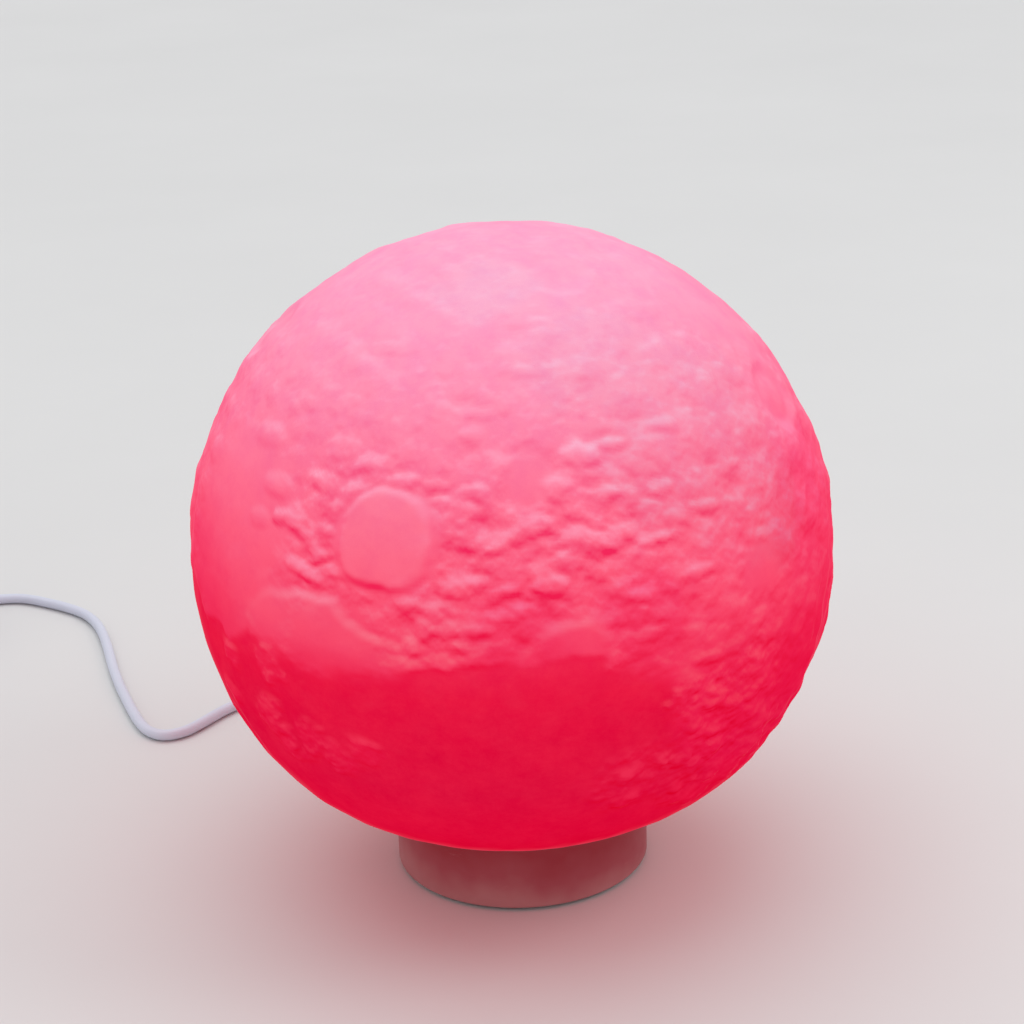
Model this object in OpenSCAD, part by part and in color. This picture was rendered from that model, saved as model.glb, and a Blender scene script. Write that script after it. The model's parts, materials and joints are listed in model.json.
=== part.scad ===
// Moon lamp: a printed moon shade that lifts off a round plastic base,
// lit from inside by a ring of small lamps and fed by a thin cord with a plug.
// Origin: middle of the base, on the table. +Z up, the cord leaves towards +Y.

/* [Shade] */
// Diameter of the moon over its mean ground
globe_d = 150; // [130:5:180]
// Height of the highest ground over the mean
relief_h = 1; // [0.5:0.1:1.4]
// Depth of the smooth dark plains under the mean surface
plain_depth = 0.6; // [0:0.1:0.8]
// Wall of the shade under the mean surface
shade_wall = 2.8; // [2.4:0.1:3.6]
// How far the underside of the moon is drawn in at its mouth
pole_flat = 4.7; // [3:0.1:6]
// Diameter of the round opening under the shade
mouth_d = 54; // [52:0.5:56]
// Thickness of the flat floor round the opening
mouth_floor = 3; // [2:0.5:5]

/* [Mouth ring] */
// Thickness of the ring's flange between shade and base
flange_t = 1.2; // [0.8:0.1:2]
// Height of the ring's neck above its flange
neck_h = 4.5; // [3.5:0.5:7]
// How far the flange stands out past the base
flange_lip = 0.5; // [0:0.1:1]

/* [Base] */
// Diameter of the base
base_d = 61; // [60:0.5:66]
// Height of the base's top over the table
base_h = 17; // [16:0.5:22]
// Side wall of the base
base_wall = 2; // [1.6:0.1:2.4]
// Thickness of the base's top
deck_t = 2; // [1.6:0.1:2.4]
// Rounding of the base's top edge
edge_r = 1.2; // [0.4:0.1:1.5]
// Outer diameter of the spigot that the shade sits over
spigot_d = 48; // [47:0.5:49]
// Height of the spigot
spigot_h = 5.5; // [4:0.5:7]
// Wall of the spigot
spigot_wall = 2.4; // [2:0.1:2.6]

/* [Bottom cover and feet] */
// Thickness of the bottom cover
cover_t = 2; // [1.8:0.1:2.6]
// Circle that the cover screws lie on
cover_circle_d = 48; // [46:0.5:49]
// Number of cover screws
cover_screws_n = 3; // [2:1:3]
// Diameter of each foot
foot_d = 8; // [6:0.5:9]
// How far the feet stand out under the base
foot_out = 0.8; // [0.5:0.1:1.2]
// How deep the feet sit in the cover
foot_in = 1; // [0.6:0.1:1.2]
// Circle that the feet lie on
foot_circle_d = 40; // [36:0.5:42]

/* [Light] */
// Diameter of the lamp board
led_board_d = 34; // [32:0.5:36]
// Thickness of the lamp board
led_board_t = 1.6; // [1:0.1:2]
// Number of lamps on the board
led_n = 6; // [4:1:7]
// Side of each lamp
led_size = 5; // [3:0.5:5]
// Height of each lamp
led_h = 1.6; // [1:0.1:2]
// Circle that the lamps lie on
led_circle_d = 19; // [18:0.5:21]
// Distance of the lamp board's screws from the middle
led_screw_y = 14; // [13.5:0.1:14.5]
// Height of the diffuser's skirt
cap_skirt_h = 4; // [3.5:0.5:6]
// Rise of the diffuser's dome over its skirt
cap_rise = 10; // [7:0.5:14]
// Wall of the diffuser
cap_wall = 1.2; // [0.8:0.1:1.6]

/* [Control board] */
// Diameter of the control board
board_d = 40; // [39:0.5:41]
// Thickness of the control board
board_t = 1.6; // [1:0.1:1.8]
// Distance from the middle to the notch that makes room for the cord clamp
board_back_y = 12; // [11:0.5:12.5]
// Width of that notch
notch_w = 18; // [17:0.5:20]
// Height of the board's underside over the middle of the cord's entry
board_over = 2; // [1.8:0.1:2.4]
// Distance of the board's screws from the middle
board_screw_x = 15.5; // [15:0.1:16]

/* [Button] */
// Diameter of the push button
button_d = 6; // [5:0.5:7]
// Travel of the push button
button_travel = 0.8; // [0.5:0.1:1]
// How far the button stands out of the base
button_out = 1.3; // [1.2:0.1:1.8]
// Angle of the button from the cord, round the base
button_angle = 50; // [45:1:55]
// Side of the square switch behind the button
switch_size = 6; // [5:0.5:6]
// Depth of the switch
switch_depth = 3.5; // [3:0.1:4]
// Diameter of the switch's plunger
plunger_d = 3; // [2:0.5:3.5]

/* [Cord] */
// Diameter of the cord
cord_d = 3; // [2.6:0.1:3.4]
// Height at which the cord leaves the base
exit_z = 7; // [6.5:0.1:7.5]
// Length of the strain relief outside the base
gland_l = 14; // [10:1:18]
// Diameter of the strain relief where it meets the base
gland_d = 7; // [6:0.5:8]
// Diameter of the strain relief at its tip
gland_tip_d = 4.6; // [4.4:0.1:5]
// Turns in the stored coil
coil_turns = 11; // [8:1:14]
// Layers in the stored coil
coil_layers = 4; // [2:2:4]
// Diameter across the middle of the coil's turns
coil_mid_d = 33; // [30:1:36]
// Gap between neighbouring turns
coil_gap = 0.6; // [0.5:0.1:0.8]
// Width of the tie round the coil
tie_w = 6; // [4:0.5:8]
// Thickness of the tie
tie_t = 0.4; // [0.3:0.1:0.6]

/* [Plug] */
// Width of the plug's grip
grip_w = 15.6; // [14:0.2:17]
// Height of the plug's grip
grip_h = 8; // [7:0.2:9]
// Length of the plug's grip
grip_l = 23; // [18:1:28]
// Length of the grip's own strain relief
grip_neck_l = 7; // [5:1:10]
// Width of the metal shell
shell_w = 12; // [11.8:0.1:12.2]
// Height of the metal shell
shell_h = 4.5; // [4.4:0.1:4.6]
// Length of the metal shell outside the grip
shell_l = 18.5; // [16:0.5:19]
// Sheet thickness of the metal shell
shell_t = 0.3; // [0.3:0.05:0.4]

/* [Fits] */
// Clearance of the mouth ring round the spigot
spigot_clear = 0.25; // [0.2:0.05:0.4]
// Clearance of the push button in its hole
button_clear = 0.1; // [0.1:0.05:0.2]
// Clearance of a piece set into another
set_clear = 0.1; // [0.05:0.05:0.2]
// Clearance of a screw in its hole
screw_clear = 0.2; // [0.1:0.05:0.3]

/* [Hidden] */

$fn = 64;
eps = 0.01;

// Screws: shank, head and head height of the two sizes used.
screw_d = 2.2;
screw_head_d = 4.2;
screw_head_h = 1.2;
small_screw_d = 1.8;
small_head_d = 3.4;
small_head_h = 1;
cover_grip = 4;
screw_spare = 0.9;
drive_l = 2.2;
drive_w = 0.5;
drive_deep = 0.6;

// Heights, from the table up.
cover_top = foot_out + cover_t;
deck_under = base_h - deck_t;
board_under = exit_z + board_over;
board_top = board_under + board_t;
board_drop = deck_under - board_top;
led_top = base_h + led_board_t;
shade_seat = base_h + flange_t;

// Radii of the pieces that fit round each other.
base_r = base_d / 2;
inside_r = base_r - base_wall;
cover_r = inside_r - set_clear;
spigot_r = spigot_d / 2;
ring_bore_r = spigot_r + spigot_clear;
neck_r = mouth_d / 2 - set_clear / 2;
flange_r = base_r + flange_lip;
cap_r = spigot_r - spigot_wall - set_clear;

// The moon: mean surface, and the angle where its underside starts to draw in.
ground_r = globe_d / 2;
flat_lat = -39;
flat_power = 1.5;
mouth_lat = -acos(flange_r / (ground_r - pole_flat));
globe_z = shade_seat - (ground_r - pole_flat) * sin(mouth_lat);
shade_rings = 48;
ring_faces = 112;
cap_rings = 5;
upper_rings = 13;
fade_lat = 9;

// Large smooth plains: longitude, latitude and radius in degrees.
// Longitude 0 faces -Y, and runs towards +X.
PLAINS = [
    [-57, 24, 19], [2, -13, 17], [24, -17, 13], [-22, -14, 13], [-43, -12, 10],
    [2, 31, 6], [112, 18, 22], [150, -12, 18], [-125, 8, 20], [-160, 42, 15],
    [78, 52, 12], [-95, -28, 12]
];
// Ring mountains and craters: longitude, latitude, radius, depth, rim height.
CRATERS = [
    [-20.8, 20.7, 7.5, 0.9, 0.6], [11, 20, 4, 0.6, 0.6], [-36, -22, 5, 0.6, 0.5],
    [36, 33, 6, 0.8, 0.6], [24, 42, 5, 0.8, 0.5], [52, 20, 7, 0.9, 0.6],
    [44, 3, 5.5, 0.9, 0.6], [61, 2, 6, 0.8, 0.6], [47, -24, 6, 0.9, 0.6],
    [66, 36, 8, 1, 0.6], [-8, 48, 5.5, 0.7, 0.5], [-32, 42, 6, 0.8, 0.5],
    [5, 66, 8, 0.7, 0.4], [-80, 50, 8, 1, 0.6], [-88, 5, 6, 0.9, 0.6],
    [88, -12, 8, 1, 0.6], [128, 44, 9, 1, 0.6], [172, 14, 8, 1, 0.6],
    [-172, -24, 7, 0.9, 0.6], [-140, -18, 6, 0.9, 0.6], [-110, 36, 7, 1, 0.6],
    [110, -32, 6, 0.8, 0.5], [75, -38, 5, 0.7, 0.4], [-66, -26, 6, 0.8, 0.6],
    [140, 68, 7, 0.7, 0.4], [-100, 72, 7, 0.7, 0.4], [-12, 2.5, 4.5, 0.6, 0.5]
];
// A chain of low mountains that curves round the left of the large crater.
CHAIN = [[-42, 22], [-38, 14], [-33, 8.5], [-26, 4], [-18, 1.5], [-9, -2]];
chain_r = 5;
chain_h = 0.9;
noise_h = 0.8;

// Air slots in the bottom cover.
slot_l = 14;
slot_w = 1.2;
slot_step = 4;

// Room round the inner pieces.
boss_r = 2.8;
pilot_r = 0.85;
small_pilot_r = 0.7;
pilot_depth = 6;
standoff_r = 2.4;
lead_hole_r = 1.9;
clamp_y = 21.5;
clamp_x = 5;
clamp_w = 4;
clamp_t = 1.6;
socket_w = 7.4;
socket_l = 5.8;
socket_h = 4.6;
driver_at = [-8, -7];
driver_w = 5;
driver_l = 4;
driver_h = 1.6;
memory_at = [7, -9];
memory_w = 3;
memory_l = 2;
memory_h = 1.2;
can_at = [-12, 7.5];
can_d = 5;
can_l = 8;
gland_flange_t = 1.2;
gland_flange_r = gland_d / 2 + 0.5;
gland_groove_r = gland_d / 2 - 0.6;
button_flange_t = 0.8;
button_flange_r = button_d / 2 + 0.9;
stem_d = 3.6;
plunger_l = 1.2;
plunger_in = 0.5;
switch_inset = 0.7;
wire_d = 1.1;
tongue_gap = 0.7;
contact_step = 2.2;
contact_w = 1;
contact_l = 8;
contact_t = 0.25;

// The cord's route over the table, chosen by eye: x, y and lift over the table.
exit_y = base_r + gland_l;
CORD_ROUTE = [
    [0, 50, 5.4], [0, 56, 4.6], [-1, 64, 2.6], [-3, 72, 0.8], [-7, 80, 0.2],
    [-13, 88, 0.1], [-22, 95, 0.1], [-33, 100, 0.1], [-45, 102, 0.1], [-57, 101, 0.1],
    [-68, 96, 0.1], [-76, 90, 0.1], [-82, 84, 0.1], [-87, 77, 0.1], [-91.5, 71.5, 0.1],
    [-97, 69.5, 0.1], [-102, 73, 0.1], [-106, 81, 0.1], [-110, 92, 0.1], [-114, 104, 0.1],
    [-117.5, 116, 0.1], [-120.5, 128, 0.1], [-123.5, 139, 0.1], [-127, 149, 0.1],
    [-132, 157.5, 0.1], [-138.5, 163.5, 0.1], [-146, 168.5, 0.1], [-154, 172.5, 0.1],
    [-162, 172.5, 0.1], [-170, 170, 0.2], [-178, 168, 0.6]
];
coil_start = [-187, 167.5];
coil_lift = 0.8;
// The short end from the coil to the plug, relative to the coil's middle.
TAIL_ROUTE = [
    [-9, 21.7, 12.4], [-15, 20.7, 11.2], [-20.5, 17, 9.2], [-24.5, 11.5, 7],
    [-27, 5, 5.2], [-27.5, -1, 4.2]
];
plug_back = [-27.5, -6];
cord_sides = 8;
coil_sides = 6;
coil_steps = 24;

cord_r = cord_d / 2;
coil_pitch = cord_d + coil_gap;
layer_turns = coil_turns / coil_layers;
coil_in_r = coil_mid_d / 2 - layer_turns * coil_pitch / 2;
coil_out_r = coil_mid_d / 2 + layer_turns * coil_pitch / 2;
coil_mid = coil_start - [0, coil_out_r];

// ---------- helpers ----------

function smooth(t) = let(c = min(max(t, 0), 1)) c * c * (3 - 2 * c);

function arc(centre, r, from, to, n = 8) = [
    for (i = [0:n])
        let(a = from + (to - from) * i / n)
        centre + r * [cos(a), sin(a)]
];

function unit(v) = v / norm(v);

// A smooth curve through hand-placed points, with one point added between each pair.
function refined(p) = concat([
    for (i = [0:len(p) - 2])
        let(a = p[max(i - 1, 0)], b = p[i], c = p[i + 1], d = p[min(i + 2, len(p) - 1)])
        each [b, (9 * (b + c) - a - d) / 16]
], [p[len(p) - 1]]);

// A round tube along points that never climb steeply.
module tube(p, d, sides) {
    last = len(p) - 1;
    along = [for (i = [0:last]) unit(p[min(i + 1, last)] - p[max(i - 1, 0)])];
    ring = [
        for (i = [0:last])
            let(side = unit(cross(along[i], [0, 0, 1])), up = cross(side, along[i]))
            for (s = [0:sides - 1])
                let(a = 360 * s / sides)
                p[i] + d / 2 * (cos(a) * side + sin(a) * up)
    ];
    walls = [
        for (i = [0:last - 1])
            for (s = [0:sides - 1])
                let(a = i * sides + s, b = i * sides + (s + 1) % sides)
                each [[a, b, b + sides], [a, b + sides, a + sides]]
    ];
    ends = [
        [for (s = [sides - 1:-1:0]) s],
        [for (s = [0:sides - 1]) last * sides + s]
    ];
    polyhedron(ring, concat(walls, ends), convexity = 10);
}

module ring_of(n, d, first = 0) {
    for (i = [0:n - 1])
        rotate([0, 0, first + 360 * i / n])
            translate([d / 2, 0, 0])
                children();
}

module rounded_bar(w, h, l, r) {
    x = w / 2 - r;
    y = h / 2 - r;
    rotate([90, 0, 0])
        linear_extrude(height = l)
            polygon(concat(
                arc([x, y], r, 0, 90, 4), arc([-x, y], r, 90, 180, 4),
                arc([-x, -y], r, 180, 270, 4), arc([x, -y], r, 270, 360, 4)
            ));
}

// Head at the bottom, thread upwards.
module screw_up(d, head_d, head_h, l) {
    cylinder(d = head_d, h = head_h);
    cylinder(d = d, h = head_h + l);
}

// Local +Y points out of the base at the button, at the button's height.
module at_button() {
    rotate([0, 0, -button_angle])
        translate([0, base_r, exit_z])
            children();
}

// ---------- the moon ----------

function heading(lon, lat) = [sin(lon) * cos(lat), -cos(lon) * cos(lat), sin(lat)];

function angle_between(a, b) = acos(min(max(a * b, -1), 1));

PLAIN_HEADS = [for (p = PLAINS) [heading(p[0], p[1]), p[2]]];
CRATER_HEADS = [for (c = CRATERS) [heading(c[0], c[1]), c[2], c[3], c[4]]];
CHAIN_HEADS = [for (c = CHAIN) heading(c[0], c[1])];

// 1 in the smooth plains, 0 in the rough highlands.
function plain_share(v) = max([
    for (p = PLAIN_HEADS) smooth(1.4 - 1.4 * angle_between(v, p[0]) / p[1] + 0.35)
]);

// One crater's height at t radii from its middle: flat floor, wall, rim, apron.
function crater_height(t, depth, rim) =
    t > 1.7 ? 0 :
    t > 1 ? rim * pow((1.7 - t) / 0.7, 2) :
    (depth + rim) * smooth((t - 0.55) / 0.45) - depth;

function craters_height(v) = [
    for (c = CRATER_HEADS)
        let(cosine = v * c[0])
        cosine > cos(1.7 * c[1]) ? crater_height(acos(min(cosine, 1)) / c[1], c[2], c[3]) : 0
];

function sum(list) = list * [for (i = list) 1];

function rough(v) =
    sin(610 * v[0] + 190 * v[1] + 40) * sin(570 * v[2] - 230 * v[0]) * 0.4
    + sin(1190 * v[1] + 410 * v[2]) * sin(1130 * v[0] - 350 * v[1] + 80) * 0.45
    + sin(1910 * v[2] + 700 * v[1] + 130) * sin(1830 * v[0] + 520 * v[2]) * 0.45
    + sin(2390 * v[0] - 910 * v[2] + 70) * sin(2210 * v[1] + 820 * v[0]) * 0.35;

function chain(v) = chain_h * max([
    for (c = CHAIN_HEADS) smooth(1.2 - angle_between(v, c) / chain_r)
]);

function ground(v) =
    let(plain = plain_share(v))
    noise_h * rough(v) * (1 - 0.85 * plain)
    + chain(v) + sum(craters_height(v)) - plain_depth * plain;

// The mean surface, drawn in towards the mouth.
function mean_r(lat) =
    lat > flat_lat ? ground_r :
    ground_r - pole_flat * pow((flat_lat - lat) / (flat_lat - mouth_lat), flat_power);

function moon_point(lon, lat) =
    let(
        v = heading(lon, lat),
        fade = smooth((lat - mouth_lat) / fade_lat),
        lift = min(ground(v), relief_h)
    )
    (mean_r(lat) + fade * lift) * v;

// Faces round each ring: few near the pole, more further down.
function ring_count(k) =
    k <= cap_rings ? ring_faces / 4 : k <= upper_rings ? ring_faces / 2 : ring_faces;

function ring_start(k) =
    k <= cap_rings + 1 ? 1 + (k - 1) * ring_faces / 4 :
    k <= upper_rings + 1 ? ring_start(cap_rings + 1) + (k - cap_rings - 1) * ring_faces / 2 :
    ring_start(upper_rings + 1) + (k - upper_rings - 1) * ring_faces;

// Index of point j of ring k, counted on past the end of the ring.
function ring_index(k, j) = ring_start(k) + j % ring_count(k);

// The faces between ring k and the next, which may have twice as many points.
function band(k) =
    let(n = ring_count(k), twice = ring_count(k + 1) > n)
    [
        for (j = [0:n - 1])
            let(a = ring_index(k, j), b = ring_index(k, j + 1))
            each twice
                ? [
                    [a, ring_index(k + 1, 2 * j + 1), ring_index(k + 1, 2 * j)],
                    [a, b, ring_index(k + 1, 2 * j + 1)],
                    [b, ring_index(k + 1, 2 * j + 2), ring_index(k + 1, 2 * j + 1)]
                ]
                : [
                    [a, b, ring_index(k + 1, j + 1)],
                    [a, ring_index(k + 1, j + 1), ring_index(k + 1, j)]
                ]
    ];

module moon_solid() {
    step = (90 - mouth_lat) / shade_rings;
    points = concat([moon_point(0, 90)], [
        for (k = [1:shade_rings])
            for (j = [0:ring_count(k) - 1])
                moon_point(360 * j / ring_count(k), 90 - k * step)
    ]);
    crown = [for (j = [0:ring_count(1) - 1]) [0, ring_index(1, j + 1), ring_index(1, j)]];
    bands = [for (k = [1:shade_rings - 1]) each band(k)];
    foot = [[for (j = [0:ring_faces - 1]) ring_index(shade_rings, j)]];
    polyhedron(points, concat(crown, bands, foot), convexity = 6);
}

// The hollow inside the shade, an even wall under the mean surface.
module shade_hollow() {
    floor_z = shade_seat - globe_z + mouth_floor;
    steps = 20;
    wall_line = [
        for (i = [0:steps])
            let(lat = 90 + (mouth_lat - 90) * i / steps, r = mean_r(lat) - shade_wall)
            if (r * sin(lat) > floor_z) r * [cos(lat), sin(lat)]
    ];
    low = wall_line[len(wall_line) - 1];
    rotate_extrude($fn = 128)
        polygon(concat([[0, floor_z]], [[0, wall_line[0][1]]],
            [for (i = [1:len(wall_line) - 1]) wall_line[i]], [[low[0] - 1, floor_z]]));
}

module moon_shade() color("#ff6f8f") {
    difference() {
        translate([0, 0, globe_z])
            difference() {
                moon_solid();
                shade_hollow();
            }
        translate([0, 0, shade_seat - 1])
            cylinder(d = mouth_d, h = mouth_floor + 2);
    }
}

// Glued into the shade's mouth; its bore slides over the spigot.
module mouth_ring() color("#f4f0ee") {
    lead_in = 0.5;
    translate([0, 0, base_h])
        rotate_extrude()
            polygon([
                [ring_bore_r + lead_in, 0], [flange_r, 0], [flange_r, flange_t],
                [neck_r, flange_t], [neck_r, flange_t + neck_h - lead_in],
                [neck_r - lead_in, flange_t + neck_h], [ring_bore_r, flange_t + neck_h],
                [ring_bore_r, lead_in]
            ]);
}

// ---------- the base ----------

module base_shell() {
    bottom_round = 0.5;
    top = base_h + spigot_h;
    rotate_extrude()
        polygon(concat(
            [[inside_r, foot_out]],
            arc([base_r - bottom_round, foot_out + bottom_round], bottom_round, -90, 0, 4),
            arc([base_r - edge_r, base_h - edge_r], edge_r, 0, 90, 6),
            [
                [spigot_r, base_h], [spigot_r, top - 0.8], [spigot_r - 0.8, top],
                [spigot_r - spigot_wall, top], [spigot_r - spigot_wall, base_h],
                [lead_hole_r, base_h], [lead_hole_r, deck_under], [inside_r, deck_under]
            ]
        ));
}

module base_housing() color("#f2efec") {
    difference() {
        union() {
            base_shell();
            ring_of(cover_screws_n, cover_circle_d)
                translate([0, 0, cover_top])
                    cylinder(r = boss_r, h = deck_under - cover_top + eps);
            for (side = [-1, 1]) {
                translate([side * board_screw_x, 0, board_top])
                    cylinder(r = standoff_r, h = board_drop + eps);
                translate([0, side * led_screw_y, deck_under - 2])
                    cylinder(r = standoff_r, h = 2 + eps);
                translate([side * clamp_x - clamp_w / 2, clamp_y - clamp_w / 2, exit_z - cord_r])
                    cube([clamp_w, clamp_w, deck_under - exit_z + cord_r + eps]);
            }
            translate([-clamp_x, clamp_y - 1, exit_z + cord_r])
                cube([2 * clamp_x, 2, deck_under - exit_z - cord_r + eps]);
        }
        ring_of(cover_screws_n, cover_circle_d) {
            translate([0, 0, cover_top - eps])
                cylinder(r = pilot_r, h = pilot_depth);
            translate([0, 0, foot_out - 1])
                cylinder(r = screw_head_d / 2 + screw_clear, h = screw_head_h + 1);
        }
        for (side = [-1, 1]) {
            translate([side * board_screw_x, 0, board_top - eps])
                cylinder(r = small_pilot_r, h = board_drop);
            translate([0, side * led_screw_y, deck_under - 2 - eps])
                cylinder(r = small_pilot_r, h = deck_t + 3);
            translate([side * clamp_x, clamp_y, exit_z - cord_r - eps])
                cylinder(r = small_pilot_r, h = pilot_depth);
        }
        translate([0, inside_r - 2, exit_z])
            rotate([-90, 0, 0])
                cylinder(r = gland_groove_r + set_clear, h = base_wall + 4);
        at_button()
            translate([0, -base_wall - 2, 0])
                rotate([-90, 0, 0])
                    cylinder(r = button_d / 2 + button_clear, h = base_wall + 4);
    }
}

module bottom_cover() color("#eceae7") {
    head_r = screw_head_d / 2 + screw_clear;
    difference() {
        translate([0, 0, foot_out])
            rotate_extrude()
                polygon([[0, 0], [cover_r - 0.4, 0], [cover_r, 0.4], [cover_r, cover_t], [0, cover_t]]);
        ring_of(cover_screws_n, cover_circle_d)
            translate([0, 0, foot_out - eps]) {
                cylinder(r = screw_d / 2 + screw_clear, h = cover_t + 1);
                cylinder(r = head_r, h = screw_head_h + eps);
            }
        ring_of(cover_screws_n, foot_circle_d, 180 / cover_screws_n)
            translate([0, 0, foot_out - eps])
                cylinder(r = foot_d / 2 + set_clear, h = foot_in + eps);
        for (i = [-2:2])
            translate([slot_step * i - slot_w / 2, -slot_l / 2, foot_out - 1])
                cube([slot_w, slot_l, cover_t + 2]);
    }
}

module cover_screws() color("silver") {
    ring_of(cover_screws_n, cover_circle_d)
        translate([0, 0, foot_out])
            difference() {
                screw_up(2 * pilot_r, screw_head_d, screw_head_h, cover_t + cover_grip);
                for (turn = [0, 90])
                    rotate([0, 0, turn])
                        translate([-drive_l / 2, -drive_w / 2, -eps])
                            cube([drive_l, drive_w, drive_deep]);
            }
}

module rubber_feet() color("#3a3a3c") {
    bevel = 0.3;
    ring_of(cover_screws_n, foot_circle_d, 180 / cover_screws_n)
        rotate_extrude()
            polygon([
                [0, 0], [foot_d / 2 - bevel, 0], [foot_d / 2, bevel],
                [foot_d / 2, foot_out + foot_in], [0, foot_out + foot_in]
            ]);
}

// ---------- the light ----------

module led_board() color("#e9ece8") {
    translate([0, 0, base_h])
        difference() {
            cylinder(d = led_board_d, h = led_board_t);
            for (side = [-1, 1])
                translate([0, side * led_screw_y, -1])
                    cylinder(d = small_screw_d + screw_clear, h = led_board_t + 2);
            for (side = [-1, 1])
                translate([side * wire_d, 0, -1])
                    cylinder(d = wire_d, h = led_board_t + 2);
        }
}

module led_lamps() color("#ffd9c8") {
    lens_r = 0.4 * led_size;
    ring_of(led_n, led_circle_d)
        difference() {
            translate([-led_size / 2, -led_size / 2, led_top])
                cube([led_size, led_size, led_h]);
            translate([0, 0, led_top + led_h - 0.3])
                cylinder(r1 = lens_r - 0.2, r2 = lens_r, h = 0.3 + eps);
        }
}

module led_screws() color("silver") {
    for (side = [-1, 1])
        translate([0, side * led_screw_y, led_top + small_head_h])
            mirror([0, 0, 1])
                screw_up(2 * small_pilot_r, small_head_d, small_head_h, led_board_t + 3);
}

module led_leads() color("#c8343c") {
    for (side = [-1, 1])
        translate([side * wire_d, 0, board_top])
            cylinder(d = wire_d, h = led_top - board_top + 0.4);
}

// The dome's inner and outer faces are arcs through the skirt and the crown.
function dome_arc(r, rise, z) =
    let(ball = (r * r + rise * rise) / (2 * rise), half = asin(r / ball))
    arc([0, z + rise - ball], ball, 90 - half, 90, 10);

module diffuser_cap() color("#fff4f0") {
    skirt_top = base_h + cap_skirt_h;
    inner_r = cap_r - cap_wall;
    outer = dome_arc(cap_r, cap_rise, skirt_top);
    inner = dome_arc(inner_r, cap_rise - cap_wall, skirt_top);
    rotate_extrude()
        polygon(concat(
            [[inner_r, base_h], [cap_r, base_h]],
            [for (i = [0:len(outer) - 2]) outer[i]], [[0, skirt_top + cap_rise]],
            [[0, skirt_top + cap_rise - cap_wall]],
            [for (i = [len(inner) - 2:-1:0]) inner[i]]
        ));
}

// ---------- the control board ----------

module control_board() color("#1f6b3c") {
    difference() {
        translate([0, 0, board_under])
            cylinder(d = board_d, h = board_t);
        translate([-notch_w / 2, board_back_y, board_under - 1])
            cube([notch_w, board_d, board_t + 2]);
        for (side = [-1, 1]) {
            translate([side * board_screw_x, 0, board_under - 1])
                cylinder(d = small_screw_d + screw_clear, h = board_t + 2);
            translate([side * wire_d, 0, board_under - 1])
                cylinder(d = wire_d + 0.2, h = board_t + 2);
        }
    }
}

module board_screws() color("silver") {
    for (side = [-1, 1])
        translate([side * board_screw_x, 0, board_under - small_head_h])
            screw_up(2 * small_pilot_r, small_head_d, small_head_h, board_t + board_drop - screw_spare);
}

module chip(w, l, h, legs) {
    leg_w = 0.4;
    leg_out = 1;
    pitch = w / legs;
    translate([-w / 2, -l / 2, -h])
        cube([w, l, h - 0.1]);
    for (i = [0:legs - 1])
        translate([-w / 2 + pitch * (i + 0.5) - leg_w / 2, -l / 2 - leg_out, -0.25])
            cube([leg_w, l + 2 * leg_out, 0.25]);
}

module driver_chip() color("#26262a") {
    translate([driver_at[0], driver_at[1], board_under])
        chip(driver_w, driver_l, driver_h, 4);
}

module memory_chip() color("#26262a") {
    translate([memory_at[0], memory_at[1], board_under])
        chip(memory_w, memory_l, memory_h, 3);
}

module filter_capacitor() color("#30303a") {
    translate([can_at[0], can_at[1], board_under - can_d / 2])
        rotate([0, 90, 0])
            rotate_extrude()
                polygon([
                    [0, 0], [can_d / 2, 0], [can_d / 2, 1], [can_d / 2 - 0.3, 1.3],
                    [can_d / 2, 1.6], [can_d / 2, can_l - 0.3], [can_d / 2 - 0.3, can_l], [0, can_l]
                ]);
}

module lead_socket() color("#f1ead8") {
    translate([0, board_back_y - socket_l / 2, board_under - socket_h / 2])
        difference() {
            cube([socket_w, socket_l, socket_h], center = true);
            translate([0, 0.8, 0])
                cube([socket_w - 1.6, socket_l, socket_h - 1.6], center = true);
        }
}

module lead_plug() color("#faf6ea") {
    w = socket_w - 1.6 - 2 * set_clear;
    h = socket_h - 1.6 - 2 * set_clear;
    translate([0, board_back_y - socket_l / 2 + 0.8 + set_clear, board_under - socket_h / 2])
        difference() {
            cube([w, socket_l, h], center = true);
            for (side = [-1, 1])
                translate([side * cord_r / 2, socket_l / 2, exit_z - board_under + socket_h / 2])
                    rotate([90, 0, 0])
                        cylinder(d = wire_d, h = 3, center = true);
        }
}

// ---------- the button ----------

// Depths measured inwards from the base's side at the button: its flange rests
// against the wall, and its stem reaches the switch under the control board.
button_seat = base_r - sqrt(pow(inside_r, 2) - pow(button_flange_r, 2)) + set_clear;
button_back = button_seat + button_flange_t;
switch_front = base_r - board_d / 2 + switch_inset;
stem_end = switch_front - plunger_l;

module push_button() color("#e4e1de") {
    r = button_d / 2;
    at_button()
        rotate([-90, 0, 0])
            difference() {
                rotate_extrude()
                    polygon(concat(
                        [
                            [0, -stem_end], [stem_d / 2, -stem_end], [stem_d / 2, -button_back],
                            [button_flange_r, -button_back], [button_flange_r, -button_seat],
                            [r, -button_seat]
                        ],
                        arc([r - 0.6, button_out - 0.6], 0.6, 0, 90, 4),
                        [[0, button_out]]
                    ));
                translate([0, 0, button_out + 5.6])
                    sphere(r = 6);
            }
}

module switch_plunger() color("#303034") {
    at_button()
        translate([0, -stem_end, 0])
            rotate([90, 0, 0])
                cylinder(d = plunger_d, h = plunger_l + plunger_in);
}

module switch_body() color("#48484e") {
    at_button()
        translate([0, -switch_front, 0])
            difference() {
                translate([-switch_size / 2, -switch_depth, -switch_size / 2])
                    cube([switch_size, switch_depth, board_under - exit_z + switch_size / 2]);
                rotate([90, 0, 0])
                    cylinder(d = plunger_d + 2 * button_clear, h = plunger_in + button_travel + 0.2);
            }
}

// ---------- cord entry ----------

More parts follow.
